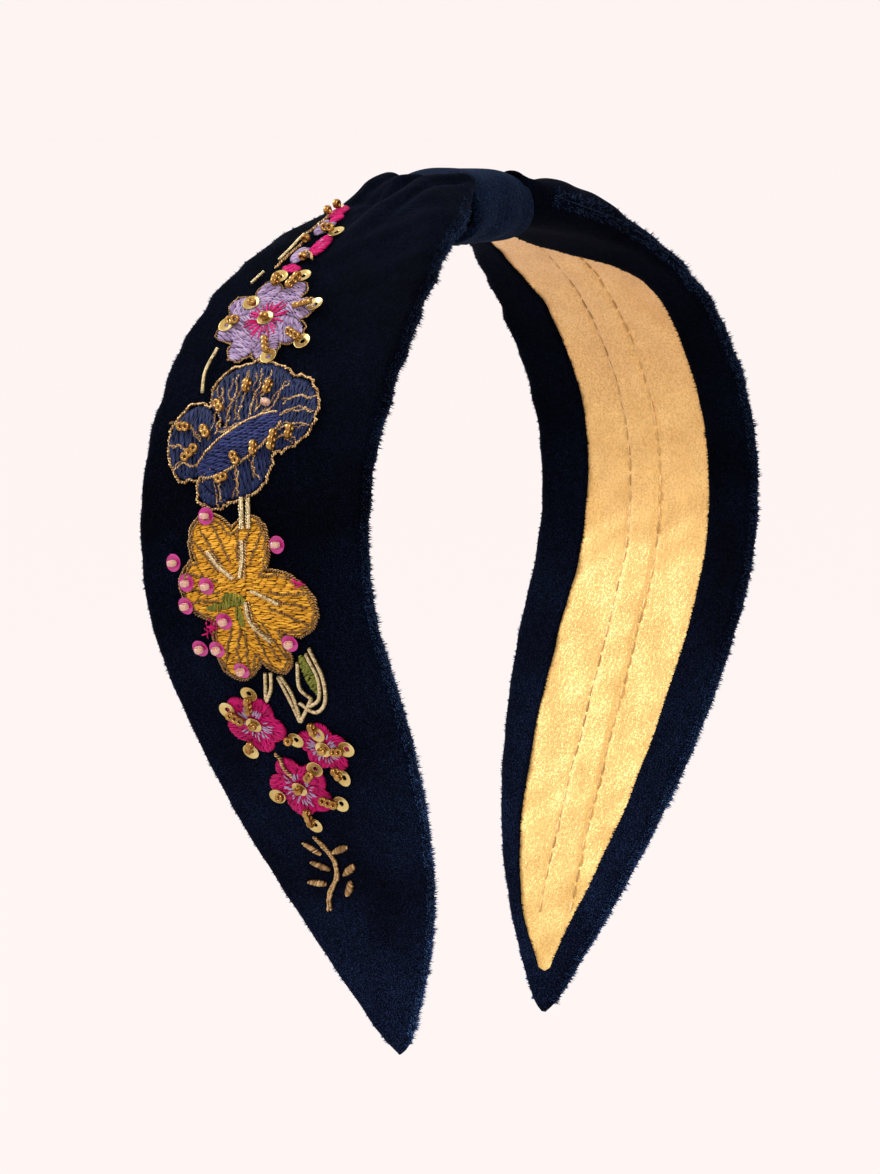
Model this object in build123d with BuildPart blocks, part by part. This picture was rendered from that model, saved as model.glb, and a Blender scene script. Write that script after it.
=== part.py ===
from build123d import *

import os
from math import cos, radians, sin, tan

os.makedirs("parts", exist_ok=True)

# ---------------------------------------------------------------------------
# Driving dimensions, in millimetres and degrees
#
# The band is an arch in the XZ plane, symmetric about the YZ plane.  X runs
# across the head, -Y is the front and +Z is up.  A place on the arch is given
# by s, the length along the arch from its top, and n, the height above the
# middle of the band's thickness, positive outwards.  Across the band it is y.
# ---------------------------------------------------------------------------

# The arch's middle line, from the top down: two arcs that turn inwards, a
# straight and a long arc that turns back out towards the tip.
CROWN_RADIUS = 66.0
CROWN_TURN = 62.0
SIDE_RADIUS = 40.5
SIDE_TURN = 57.0
TEMPLE_STRAIGHT = 42.0
TAIL_RADIUS = 170.0
TAIL_TURN = 12.5

# Height of the arch's top above the row's origin, the middle of the head space.
TOP_HEIGHT = 72.0

# Layers, as heights n above the middle of the thickness.
BAND_HALF_THICKNESS = 1.7
VELVET = 0.8
LAYER_GAP = 0.05
HOOP_THICKNESS = 0.9
HOOP_WIDTH = 5.0
HOOP_END_S = 183.0
LINING_THICKNESS = 0.5
CAP_LENGTH = 3.0
CAP_END_WALL = 1.0
END_GAP = 0.3

# The band's outline.
BAND_HALF_WIDTH = 22.4
NECK_HALF_WIDTH = 11.4
NECK_START_X = 10.0
NECK_END_X = 50.0
TAPER_HEIGHT = -72.0
TIP_HALF_WIDTH = 1.2
TIP_BELOW_ARCH = 1.0
TIP_DRAW_BACK = 1.7  # a layer inside the band ends this much higher, for each unit of its inset
TIP_SEAM = 4.0
TAPER_TURN = 27.4

# The lining's outline, inside the turned hems.
LINING_REAR = 12.3
LINING_FRONT = 13.6
LINING_MOUTH = 3.0
LINING_FULL_X = 45.0
LINING_TAPER_REAR = -98.0
LINING_TAPER_FRONT = -90.0
LINING_TIP_S = 185.0
LINING_TIP_HALF = 0.6
LINING_TURN = 29.0
STITCH_ROW_Y = 3.15
STITCH_WIDTH = 0.4
STITCH_HEIGHT = 0.2
STITCH_START_S = 22.0
STITCH_END_S = 172.0

# The knot: a velvet sleeve round the gathered middle of the band.
WRAP_LENGTH = 18.0
WRAP_WIDTH = 22.4
WRAP_HEIGHT = 13.0
WRAP_DROP = 1.7  # the knot's middle, below the top of the arch
WRAP_THICKNESS = 1.2
WRAP_CORNER = 5.6
WRAP_EDGE_RADIUS = 0.5
ARM_START_S = 10.8
PLEAT_START_S = 11.1
PLEAT_END_S = 17.4
PLEAT_RISE = 3.6
PLEAT_MIDDLE_RISE = 2.6
PLEAT_TAIL = 1.6
PLEAT_HALF_WIDTH = 10.8
PLEAT_CROWN = 13.5
PLEAT_CENTRE_DROP = 8.0
BINDING_THREAD = 0.6
BINDING_SPACING = 2.4
BINDING_TURNS = 5
CLOSING_STITCHES = 5
CLOSING_STITCH_SPACING = 2.6
CLOSING_STITCH = (0.45, 2.2, 0.3)
CORE_GAP = 0.1
CORE_END_GAP = 0.5

# Embroidery, as heights n of each layer's underside and top.
VELVET_FACE = BAND_HALF_THICKNESS + LAYER_GAP
SATIN_TOP = VELVET_FACE + 0.5
HEART_LOW = SATIN_TOP + 0.03
HEART_TOP = SATIN_TOP + 0.18
SEQUIN_LOW = HEART_TOP + 0.03
SEQUIN_THICKNESS = 0.2
SEQUIN_TOP = SEQUIN_LOW + SEQUIN_THICKNESS
SEQUIN_RADIUS = 1.5
SEQUIN_HOLE = 0.4
BEAD_RADIUS = 0.75
BEAD_LENGTH = 0.95
BEAD_HOLE = 0.2
BEAD_SPACING = 1.0
BEAD_LYING = SEQUIN_TOP + BEAD_RADIUS + LAYER_GAP
BEAD_UPRIGHT = SEQUIN_TOP + BEAD_LENGTH / 2 + LAYER_GAP
EDGING_WIDTH = 0.5
EDGING_GAP = 0.04
PURL_RADIUS = 0.4
PURL_END_GAP = 0.4
PURL_HIGH = SATIN_TOP + PURL_RADIUS + 0.3
PURL_LOW = VELVET_FACE + PURL_RADIUS + 0.1

# Petals of the round flowers, and the stitches that radiate round a flower's middle.
PETAL_ROOT = 0.3
LILAC_HEART = 3.4
YELLOW_HEART = 5.0
PINK_PETALS = 5
PINK_PETAL_WIDTH = 0.88
STAR_STITCH_WIDTH = 1.0
STAR_INNER = 1.7
LILAC_STAR = (9, 4.2)
PINK_STAR = (5, 3.4)

# Lengths used only to cut through: far past the object, past a layer's end, and across a flower.
REACH = 200.0
OVERRUN = 1.0
OVERLAP = 0.01
PATCH_REACH = 20.0

# ---------------------------------------------------------------------------
# The arch
# ---------------------------------------------------------------------------

ARCH = [
    (CROWN_RADIUS, CROWN_RADIUS * radians(CROWN_TURN)),
    (SIDE_RADIUS, SIDE_RADIUS * radians(SIDE_TURN)),
    (None, TEMPLE_STRAIGHT),
    (-TAIL_RADIUS, TAIL_RADIUS * radians(TAIL_TURN)),
]
ARCH_END = sum(length for _, length in ARCH)


def arch_state(s):
    """The arch's x, z and downward heading at s, on the right-hand side."""
    x, z, heading = 0.0, TOP_HEIGHT, 0.0
    for radius, length in ARCH:
        step = min(s, length)
        if radius is None:
            x += step * cos(heading)
            z -= step * sin(heading)
        else:
            turned = heading + step / radius
            x += radius * (sin(turned) - sin(heading))
            z += radius * (cos(turned) - cos(heading))
            heading = turned
        s -= step
        if s <= 0:
            break
    return x, z, heading


def arch_point(s, n):
    """The point at s and n, as x and z."""
    x, z, heading = arch_state(s)
    return x + n * sin(heading), z + n * cos(heading)


def arch_height(s):
    """Height of the middle line at s."""
    return arch_state(s)[1]


def arch_breaks(start, end):
    """Where the arch's arcs and straight meet, between start and end."""
    breaks = [start]
    at = 0.0
    for _, length in ARCH:
        at += length
        if start < at < end:
            breaks.append(at)
    return breaks + [end]


def is_straight(start, end):
    """Whether this stretch of the arch is the temple straight."""
    return abs(arch_state(start)[2] - arch_state(end)[2]) < radians(0.01)


def arch_profile(low, high, start, end, plane=Plane.XZ):
    """The side-on face of a layer between heights low and high."""
    breaks = arch_breaks(start, end)
    with BuildSketch(plane) as profile:
        with BuildLine():
            for n in (low, high):
                for a, b in zip(breaks, breaks[1:]):
                    if is_straight(a, b):
                        Line(arch_point(a, n), arch_point(b, n))
                    else:
                        ThreePointArc(arch_point(a, n), arch_point((a + b) / 2, n), arch_point(b, n))
            Line(arch_point(start, low), arch_point(start, high))
            Line(arch_point(end, low), arch_point(end, high))
        make_face()
    return profile.sketch


def surface_plane(s, y, n):
    """A plane on the left arm: local x is +Y, local y runs down the arm and z is outwards."""
    x, z, heading = arch_state(s)
    origin = (-(x + n * sin(heading)), y, z + n * cos(heading))
    return Plane(origin=origin, x_dir=(0, 1, 0), z_dir=(-sin(heading), 0, cos(heading)))


def surface_vector(s, y, n):
    """The point on the left arm at s, y and n."""
    x, z = arch_point(s, n)
    return Vector(-x, y, z)


# ---------------------------------------------------------------------------
# Outlines of the band and of the lining
# ---------------------------------------------------------------------------


def tapered_side(half_width, taper_height, tip_half, tip_height, turn, sign):
    """One long edge, seen from the side: straight down, an arc, then straight to the tip."""
    angle = radians(turn)
    length = taper_height - tip_height
    narrowing = half_width - tip_half
    radius = (length * tan(angle) - narrowing) / (1 / cos(angle) - 1)

    def on_arc(part):
        return (
            sign * (half_width - radius * (1 - cos(part * angle))),
            taper_height - radius * sin(part * angle),
        )

    top = (sign * half_width, REACH)
    Line(top, on_arc(0))
    ThreePointArc(on_arc(0), on_arc(0.5), on_arc(1))
    Line(on_arc(1), (sign * tip_half, tip_height))


def side_outline(rear, front, rear_taper, front_taper, tip_half, tip_height, turn):
    """The outline seen from the side, in Y and Z, heights from the arch's top."""
    with BuildSketch(Plane.YZ) as outline:
        with BuildLine():
            tapered_side(rear, TOP_HEIGHT + rear_taper, tip_half, tip_height, turn, 1)
            tapered_side(front, TOP_HEIGHT + front_taper, tip_half, tip_height, turn, -1)
            Line((-tip_half, tip_height), (tip_half, tip_height))
            Line((-front, REACH), (rear, REACH))
        make_face()
    return outline.sketch


def neck_outline(inset):
    """The band's outline from above: narrow at the knot, with two arcs to full width."""
    wide = BAND_HALF_WIDTH - inset
    narrow = NECK_HALF_WIDTH - inset
    middle_x = (NECK_START_X + NECK_END_X) / 2
    middle_y = (wide + narrow) / 2
    run = middle_x - NECK_START_X
    radius = (run**2 + (middle_y - narrow) ** 2) / (2 * (middle_y - narrow))

    def curve_y(x):
        if x < middle_x:
            return narrow + radius - (radius**2 - (x - NECK_START_X) ** 2) ** 0.5
        return wide - radius + (radius**2 - (NECK_END_X - x) ** 2) ** 0.5

    places = (NECK_START_X, middle_x - run / 2, middle_x, middle_x + run / 2, NECK_END_X)
    with BuildSketch(Plane.XY) as outline:
        with BuildLine():
            for sign in (1, -1):
                points = [(x, sign * curve_y(x)) for x in places]
                Line((0, sign * narrow), points[0])
                ThreePointArc(*points[:3])
                ThreePointArc(*points[2:])
                Line(points[4], (REACH, sign * wide))
            Line((0, -narrow), (0, narrow))
            Line((REACH, -wide), (REACH, wide))
        make_face()
    return outline.sketch


def lining_neck_outline(inset):
    """The lining's outline from above: a fan that opens from the knot's mouth."""
    rear = LINING_REAR - inset
    front = LINING_FRONT - inset
    mouth = LINING_MOUTH - inset
    with BuildSketch(Plane.XY) as outline:
        Polygon(
            (NECK_START_X, mouth),
            (LINING_FULL_X, rear),
            (REACH, rear),
            (REACH, -front),
            (LINING_FULL_X, -front),
            (NECK_START_X, -mouth),
            align=None,
        )
    return outline.sketch


def band_layer(low, high, start, end, inset=0.0):
    """A layer of the right arm over the band's whole width, less an inset."""
    width = BAND_HALF_WIDTH - inset
    tip_height = arch_height(ARCH_END) - TIP_BELOW_ARCH + TIP_DRAW_BACK * inset
    side = side_outline(width, width, TAPER_HEIGHT, TAPER_HEIGHT, TIP_HALF_WIDTH, tip_height, TAPER_TURN)
    with BuildPart() as layer:
        extrude(arch_profile(low, high, start, end), amount=BAND_HALF_WIDTH, both=True)
        extrude(side, amount=REACH, both=True, mode=Mode.INTERSECT)
        extrude(neck_outline(inset), amount=REACH, both=True, mode=Mode.INTERSECT)
    return layer.part


def lining_layer(low, high, start, inset=0.0):
    """A layer of the right arm inside the hems, less an inset."""
    side = side_outline(
        LINING_REAR - inset,
        LINING_FRONT - inset,
        LINING_TAPER_REAR,
        LINING_TAPER_FRONT,
        LINING_TIP_HALF,
        arch_height(LINING_TIP_S) + TIP_DRAW_BACK * inset,
        LINING_TURN,
    )
    with BuildPart() as layer:
        extrude(arch_profile(low, high, start, LINING_TIP_S - inset), amount=BAND_HALF_WIDTH, both=True)
        extrude(side, amount=REACH, both=True, mode=Mode.INTERSECT)
        extrude(lining_neck_outline(inset), amount=REACH, both=True, mode=Mode.INTERSECT)
    return layer.part


def strip_layer(low, high, start, end, half_width, centre_y=0.0):
    """A strip of constant width along the right arm."""
    with BuildPart() as layer:
        extrude(arch_profile(low, high, start, end, Plane.XZ.offset(-centre_y)), amount=half_width, both=True)
    return layer.part


# ---------------------------------------------------------------------------
# The two arms of the band
# ---------------------------------------------------------------------------

INNER_FACE = -BAND_HALF_THICKNESS
COVER_CAVITY = BAND_HALF_THICKNESS - VELVET
CAVITY_END_S = ARCH_END - TIP_SEAM
HOOP_HALF = HOOP_THICKNESS / 2
CAP_START_S = HOOP_END_S - CAP_LENGTH
LINING_LOW = -COVER_CAVITY - LINING_THICKNESS


def velvet_cover():
    """The velvet: outer face, folded long edges and turned hems, open to the lining."""
    outside = band_layer(INNER_FACE, BAND_HALF_THICKNESS, ARM_START_S, ARCH_END)
    cavity = band_layer(-COVER_CAVITY, COVER_CAVITY, ARM_START_S - OVERRUN, CAVITY_END_S, VELVET)
    window = lining_layer(INNER_FACE - OVERRUN, -COVER_CAVITY + OVERLAP, ARM_START_S - OVERRUN)
    with BuildPart() as cover:
        add(outside)
        add(cavity, mode=Mode.SUBTRACT)
        add(window, mode=Mode.SUBTRACT)
    return cover.part


def felt_padding():
    """Felt that fills the cover, with a groove for the hoop on its inner side."""
    low = -COVER_CAVITY + LAYER_GAP
    body = band_layer(
        low,
        COVER_CAVITY - LAYER_GAP,
        ARM_START_S + END_GAP,
        CAP_START_S - END_GAP,
        VELVET + LAYER_GAP,
    )
    groove_half = HOOP_WIDTH / 2 + LAYER_GAP
    groove_top = HOOP_HALF + LAYER_GAP
    groove = strip_layer(low - OVERRUN, groove_top, ARM_START_S - OVERRUN, CAP_START_S, groove_half)
    with BuildPart() as padding:
        add(body)
        add(groove, mode=Mode.SUBTRACT)
    return padding.part


def lining():
    """The metallic lining between the hems."""
    return lining_layer(LINING_LOW, -COVER_CAVITY, ARM_START_S + END_GAP, 2 * LAYER_GAP)


def channel_stitches():
    """Two rows of thread that hold the hoop in its channel."""
    top = LINING_LOW - LAYER_GAP
    return [
        strip_layer(top - STITCH_HEIGHT, top, STITCH_START_S, STITCH_END_S, STITCH_WIDTH / 2, row_y)
        for row_y in (-STITCH_ROW_Y, STITCH_ROW_Y)
    ]


def hoop_tip_cap():
    """A moulded sleeve over the hoop's end, inside the cover."""
    thick = COVER_CAVITY - LAYER_GAP
    half_width = HOOP_WIDTH / 2 + LAYER_GAP
    room = HOOP_HALF + LAYER_GAP
    outside = strip_layer(-thick, thick, CAP_START_S, HOOP_END_S + CAP_END_WALL, half_width + thick - room)
    inside = strip_layer(-room, room, CAP_START_S - OVERRUN, HOOP_END_S + END_GAP, half_width)
    with BuildPart() as cap:
        add(outside)
        add(inside, mode=Mode.SUBTRACT)
    return cap.part


def pleat():
    """The velvet gathered up from the band to the knot, a domed wedge on the cover."""
    low = BAND_HALF_THICKNESS + LAYER_GAP
    middle_s = (PLEAT_START_S + PLEAT_END_S) / 2
    with BuildSketch(Plane.XZ) as side:
        with BuildLine():
            ThreePointArc(
                arch_point(PLEAT_START_S, low),
                arch_point(middle_s, low),
                arch_point(PLEAT_END_S, low),
            )
            Line(arch_point(PLEAT_END_S, low), arch_point(PLEAT_END_S, low + PLEAT_TAIL))
            ThreePointArc(
                arch_point(PLEAT_END_S, low + PLEAT_TAIL),
                arch_point(middle_s, low + PLEAT_MIDDLE_RISE),
                arch_point(PLEAT_START_S, low + PLEAT_RISE),
            )
            Line(arch_point(PLEAT_START_S, low + PLEAT_RISE), arch_point(PLEAT_START_S, low))
        make_face()
    with BuildSketch(Plane.YZ) as dome:
        with Locations((0, TOP_HEIGHT - PLEAT_CENTRE_DROP)):
            Ellipse(PLEAT_HALF_WIDTH, PLEAT_CROWN)
    with BuildPart() as wedge:
        extrude(side.sketch, amount=PLEAT_HALF_WIDTH, both=True)
        extrude(dome.sketch, amount=REACH, both=True, mode=Mode.INTERSECT)
    return wedge.part


# ---------------------------------------------------------------------------
# The hoop and the knot
# ---------------------------------------------------------------------------


def spring_hoop():
    """The flat sprung hoop, one piece from tip to tip."""
    half = strip_layer(-HOOP_HALF, HOOP_HALF, 0, HOOP_END_S, HOOP_WIDTH / 2)
    with BuildPart() as hoop:
        add(half)
        mirror(half, about=Plane.YZ)
    return hoop.part


def wrap_section(inset):
    """The knot's rounded section, seen along X."""
    with BuildSketch(Plane.YZ) as section:
        with Locations((0, TOP_HEIGHT - WRAP_DROP)):
            RectangleRounded(WRAP_WIDTH - 2 * inset, WRAP_HEIGHT - 2 * inset, WRAP_CORNER - inset)
    return section.sketch


def knot_wrap():
    """The velvet sleeve round the knot, with its cut edges rolled."""
    with BuildPart() as wrap:
        extrude(wrap_section(0), amount=WRAP_LENGTH / 2, both=True)
        fillet(wrap.faces().filter_by(Axis.X).edges(), WRAP_EDGE_RADIUS)
        extrude(wrap_section(WRAP_THICKNESS), amount=WRAP_LENGTH, both=True, mode=Mode.SUBTRACT)
    return wrap.part


def gathered_core():
    """The gathered middle of the band inside the sleeve, with a slot for the hoop."""
    slot_half = HOOP_HALF + LAYER_GAP
    slot = strip_layer(-slot_half, slot_half, 0, WRAP_LENGTH, HOOP_WIDTH / 2 + LAYER_GAP)
    inset = WRAP_THICKNESS + 2 * CORE_GAP + BINDING_THREAD
    with BuildPart() as core:
        extrude(wrap_section(inset), amount=WRAP_LENGTH / 2 - CORE_END_GAP, both=True)
        add(slot, mode=Mode.SUBTRACT)
        mirror(slot, about=Plane.YZ, mode=Mode.SUBTRACT)
    return core.part


def binding_thread():
    """Turns of thread that hold the gathers together, one ring for each turn."""
    with BuildPart() as turn:
        extrude(wrap_section(WRAP_THICKNESS + CORE_GAP), amount=BINDING_THREAD / 2, both=True)
        inner = wrap_section(WRAP_THICKNESS + CORE_GAP + BINDING_THREAD)
        extrude(inner, amount=BINDING_THREAD, both=True, mode=Mode.SUBTRACT)
    first = -BINDING_SPACING * (BINDING_TURNS - 1) / 2
    return [turn.part.moved(Location((first + i * BINDING_SPACING, 0, 0))) for i in range(BINDING_TURNS)]


def closing_stitches():
    """Stitches under the knot that close the sleeve."""
    with BuildPart() as stitch:
        Box(*CLOSING_STITCH)
    bottom = TOP_HEIGHT - WRAP_DROP - WRAP_HEIGHT / 2
    height = bottom - CLOSING_STITCH[2] / 2 - LAYER_GAP
    first = -CLOSING_STITCH_SPACING * (CLOSING_STITCHES - 1) / 2
    return [
        stitch.part.moved(Location((first + i * CLOSING_STITCH_SPACING, 0, height)))
        for i in range(CLOSING_STITCHES)
    ]


# ---------------------------------------------------------------------------
# Embroidery on the left arm.  Places are (s, y).
# ---------------------------------------------------------------------------

LILAC_CENTRE = (52.0, 6.3)
LILAC_PETALS = [(22.5 + 45 * i, 8.1, 4.9) for i in range(8)]
LILAC_SEQUINS = [
    (42.7, 8.1, 2),
    (42.4, 3.6, 3),
    (48.9, -2.2, 3),
    (48.8, 10.7, 1),
    (53.6, 13.3, 2),
    (56.6, -3.2, 3),
    (59.6, 2.3, 3),
]

# The navy flower's petals are ovals: centre s and y, half width across, half length down.
NAVY_CENTRE = (73.0, 3.5)
NAVY_OVALS = [
    (67.2, 2.8, 8.0, 5.4),
    (69.6, -4.8, 5.6, 6.2),
    (75.0, 12.4, 4.6, 6.2),
    (77.6, 3.4, 7.2, 6.4),
    (82.4, 6.6, 3.2, 2.8),
]
NAVY_FOLD = (75.2, 3.2, 8.4, 2.5, 35.0)
NAVY_BEADS = [
    (65.5, 3.9, 2, 90),
    (65.6, -0.4, 2, 80),
    (69.2, 8.3, 2, 135),
    (72.9, 14.2, 2, 0),
    (73.5, 9.7, 2, 135),
    (77.0, 11.9, 3, 45),
    (77.6, 2.7, 2, 130),
    (75.9, -0.6, 2, 100),
    (74.5, -4.0, 3, 90),
    (73.1, -7.0, 2, 90),
    (80.7, 4.8, 2, 20),
]
NAVY_CLEAR_BEAD = (68.2, -0.6)

# Petals are angle from +Y towards the tip of the arm, length and width.
YELLOW_CENTRE = (98.8, 1.5)
YELLOW_PETALS = [
    (-55.0, 14.0, 9.4),
    (-104.0, 12.4, 8.2),
    (169.0, 14.4, 10.0),
    (110.0, 14.2, 7.6),
    (70.0, 16.2, 8.6),
    (-4.0, 12.0, 10.0),
]
MAGENTA_SEQUINS = [
    (86.7, 7.8),
    (90.7, -6.4),
    (94.2, 14.5),
    (97.3, 12.3),
    (97.7, 8.3),
    (101.1, 13.1),
    (103.4, 5.9),
    (108.4, 12.2),
    (108.4, 8.8),
    (112.2, 5.2),
    (106.7, -6.3),
]
GREEN_HEART = (99.8, 3.4, 2.2, 1.2)
YELLOW_PURL = [
    [(96.2, 1.4), (93.0, 0.6), (90.2, 0.6)],
    [(96.4, 2.8), (94.6, 5.4), (92.2, 7.6)],
    [(98.2, -0.6), (99.0, -3.0), (100.2, -5.6)],
    [(100.0, 0.8), (103.6, 0.5), (106.6, -2.6)],
]

UPPER_PINK_CENTRE = (123.5, 6.9)
SIDE_PINK_CENTRE = (127.8, -5.5)
LOWER_PINK_CENTRE = (136.5, 2.3)
UPPER_PINK_SEQUINS = [(117.1, 5.6, 3), (120.7, 11.3, 3), (129.1, 9.5, 2)]
SIDE_PINK_SEQUINS = [(124.7, -5.4, -2), (126.2, -0.6, -1), (127.5, -10.2, 2), (133.6, -7.6, 2)]
LOWER_PINK_SEQUINS = [(132.1, -2.3, 2), (138.3, 7.4, 1), (139.1, -5.1, 3), (144.0, 1.9, 3)]

# The bud spray above the lilac flower: ovals as for the navy fold, and its beads.
BUD_PINK = [(21.6, 9.0, 1.1, 2.4, 0.0), (34.2, 4.9, 1.3, 2.8, 0.0), (40.4, 7.2, 1.7, 0.9, 0.0)]
BUD_LILAC = [(27.6, 7.9, 1.3, 2.6, 0.0), (37.8, 7.9, 1.5, 1.2, 0.0)]
BUD_BEADS = [(20.6, 11.0, 1, 90), (23.6, 10.9, 1, 90)]
BUD_RINGS = [(33.0, 8.2), (38.2, 5.6)]
BUD_SEQUIN = (29.9, 4.1, 2, (29.9, 8.0))

STEM_WIRES = [
    [(30.5, 10.2), (34.5, 10.5), (38.0, 11.0)],
    [(58.0, 13.4), (62.6, 14.0), (66.4, 13.2)],
]
FLOWER_STEM = [[(84.6, -0.5), (87.2, -1.0)], [(84.6, 0.8), (87.2, 0.3)]]
LEAF_PURL = [
    [(107.6, -9.6), (112.8, -10.4), (118.0, -9.2), (120.4, -6.4), (118.6, -3.8)],
    [(111.4, -6.4), (115.4, -5.0), (117.6, -6.6)],
    [(112.8, 0.9), (118.2, 2.7)],
    [(114.6, -1.4), (118.6, -2.2), (122.0, -2.4)],
]
GREEN_LEAF = (112.8, -8.1, 1.1, 3.6, 6.0)
HEART_CHAIN = [(129.8, 4.3), (131.6, 3.9)]

# A leafy sprig near the tip: its stem, and its leaves as centre, size and angle.
SPRIG_STEM = [(147.0, 3.4), (151.0, 1.2), (155.0, 1.6), (159.0, 4.4), (162.6, 5.6)]
SPRIG_LEAF = (1.9, 0.65)
SPRIG_LEAVES = [
    (149.4, -1.0, 25.0),
    (149.6, 4.8, -35.0),
    (153.6, -1.4, 40.0),
    (153.2, 4.4, -20.0),
    (157.6, 0.0, 60.0),
    (157.0, 6.2, 0.0),
]


def petal_outline(centre, petals, heart_radius, grow=0.0):
    """A flower of oval petals round a disc, drawn on the arm at its centre."""
    with BuildSketch(surface_plane(*centre, 0)) as flower:
        Circle(heart_radius + grow)
        for angle, length, width in petals:
            with PolarLocations(length / 2 + PETAL_ROOT, 1, start_angle=angle):
                Ellipse(length / 2 - PETAL_ROOT + grow, width / 2 + grow)
    return flower.sketch


def oval_outline(centre, ovals, grow=0.0):
    """Overlapping ovals, drawn on the arm at a centre.  Each may have its own angle."""
    with BuildSketch(surface_plane(*centre, 0)) as shape:
        for s, y, half_across, half_down, *angle in ovals:
            with Locations((y - centre[1], s - centre[0])):
                Ellipse(half_across + grow, half_down + grow, rotation=angle[0] if angle else 0)
    return shape.sketch


def star_ring(centre, points, outer):
    """Radiating stitches round a flower's middle, clear of its centre sequin."""
    with BuildSketch(surface_plane(*centre, 0)) as star:
        Circle((STAR_INNER + outer) / 2)
        with PolarLocations((STAR_INNER + outer) / 2, points):
            Ellipse((outer - STAR_INNER) / 2, STAR_STITCH_WIDTH / 2)
        Circle(STAR_INNER, mode=Mode.SUBTRACT)
    return star.sketch


def stitched_patch(outline, middle_s, low, high, cut=None):
    """Wrap an outline onto the left arm as a thin layer, less what cut covers."""
    layer = strip_layer(low, high, middle_s - PATCH_REACH, middle_s + PATCH_REACH, BAND_HALF_WIDTH)
    with BuildPart() as patch:
        extrude(outline, amount=BAND_HALF_WIDTH / 2, both=True)
        if cut:
            extrude(cut, amount=BAND_HALF_WIDTH / 2, both=True, mode=Mode.SUBTRACT)
        mirror(layer, about=Plane.YZ, mode=Mode.INTERSECT)
    return patch.solids()


def arm_direction(s, y, n, angle):
    """The direction at an angle from +Y towards the tip, along the left arm's face."""
    plane = surface_plane(s, y, n)
    return plane.x_dir * cos(radians(angle)) + plane.y_dir * sin(radians(angle))


def seed_bead():
    """A short rounded bead with its hole along Z."""
    wall = BEAD_RADIUS - BEAD_HOLE
    with BuildPart() as bead:
        with BuildSketch(Plane.XZ):
            with Locations(((BEAD_RADIUS + BEAD_HOLE) / 2, 0)):
                RectangleRounded(wall, BEAD_LENGTH, wall / 2 - OVERLAP)
        revolve(axis=Axis.Z)
    return bead.part


def sequin():
    """A flat round sequin with a hole in its middle."""
    with BuildPart() as disc:
        Cylinder(SEQUIN_RADIUS, SEQUIN_THICKNESS, align=(Align.CENTER, Align.CENTER, Align.MIN))
        Hole(SEQUIN_HOLE)
    return disc.part


BEAD = seed_bead()
SEQUIN = sequin()


def upright_bead(s, y):
    """A bead that stands on its end, hole outwards."""
    return BEAD.moved(surface_plane(s, y, BEAD_UPRIGHT).location)


def lying_beads(s, y, count, angle, first=None):
    """Beads strung in a row along the face, centred on (s, y) or starting beyond it."""
    start = -BEAD_SPACING * (count - 1) / 2 if first is None else first
    beads = []
    for i in range(count):
        reach = start + i * BEAD_SPACING
        place_s = s + reach * sin(radians(angle))
        place_y = y + reach * cos(radians(angle))
        origin = surface_vector(place_s, place_y, BEAD_LYING)
        along = arm_direction(place_s, place_y, BEAD_LYING, angle)
        beads.append(BEAD.moved(Plane(origin=origin, z_dir=along).location))
    return beads


def flat_sequin(s, y):
    """A sequin laid on the embroidery."""
    return SEQUIN.moved(surface_plane(s, y, SEQUIN_LOW).location)


def sequin_beads(s, y, count, centre):
    """Beads that run from a sequin's hole towards a centre, or away from it if count is negative."""
    toward = Vector(centre[1] - y, centre[0] - s)
    angle = Vector(1, 0, 0).get_signed_angle(toward, Vector(0, 0, 1))
    if count < 0:
        angle += 180
    return lying_beads(s, y, abs(count), angle, first=BEAD_SPACING)


def purl(points, height):
    """Cut metal purl laid end to end along a route on the arm."""
    rods = []
    for (s0, y0), (s1, y1) in zip(points, points[1:]):
        start = surface_vector(s0, y0, height)
        end = surface_vector(s1, y1, height)
        along = (end - start).normalized()
        length = (end - start).length - 2 * PURL_END_GAP
        with BuildPart(Plane(origin=start + along * PURL_END_GAP, z_dir=along)) as rod:
            Cylinder(PURL_RADIUS, length, align=(Align.CENTER, Align.CENTER, Align.MIN))
        rods.append(rod.part)
    return rods


def edging(outline_of, middle_s):
    """A couched gold outline, just outside a flower."""
    outer = outline_of(EDGING_WIDTH)
    inner = outline_of(EDGING_GAP)
    return stitched_patch(outer, middle_s, VELVET_FACE, SATIN_TOP, cut=inner)


def lilac_outline(grow=0.0):
    """The lilac flower's outline."""
    return petal_outline(LILAC_CENTRE, LILAC_PETALS, LILAC_HEART, grow)


def navy_outline(grow=0.0):
    """The navy flower's outline."""
    return oval_outline(NAVY_CENTRE, NAVY_OVALS, grow)


def yellow_outline(grow=0.0):
    """The yellow flower's outline."""
    return petal_outline(YELLOW_CENTRE, YELLOW_PETALS, YELLOW_HEART, grow)


def pink_flower(centre, radius, phase):
    """A small five-petalled flower."""
    petals = [(phase + i * 360 / PINK_PETALS, radius, PINK_PETAL_WIDTH * radius) for i in range(PINK_PETALS)]
    return stitched_patch(petal_outline(centre, petals, radius / 2), centre[0], VELVET_FACE, SATIN_TOP)


def ovals(shapes, low, high):
    """Small separate oval patches."""
    patches = []
    for shape in shapes:
        patches += stitched_patch(oval_outline(shape[:2], [shape]), shape[0], low, high)
    return patches


# ---------------------------------------------------------------------------
# Every piece, one node each
# ---------------------------------------------------------------------------


def write_piece(name, solids):
    """Write one node, as one or more separate solids."""
    piece = solids[0] if len(solids) == 1 else Compound(children=list(solids))
    piece.label = name
    export_step(piece, f"parts/{name}.step")


def write_both_arms(name, solids):
    """Write a node for each arm: as built on the right, mirrored on the left."""
    write_piece(f"{name}_right", solids)
    write_piece(f"{name}_left", [solid.mirror(Plane.YZ) for solid in solids])


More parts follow.
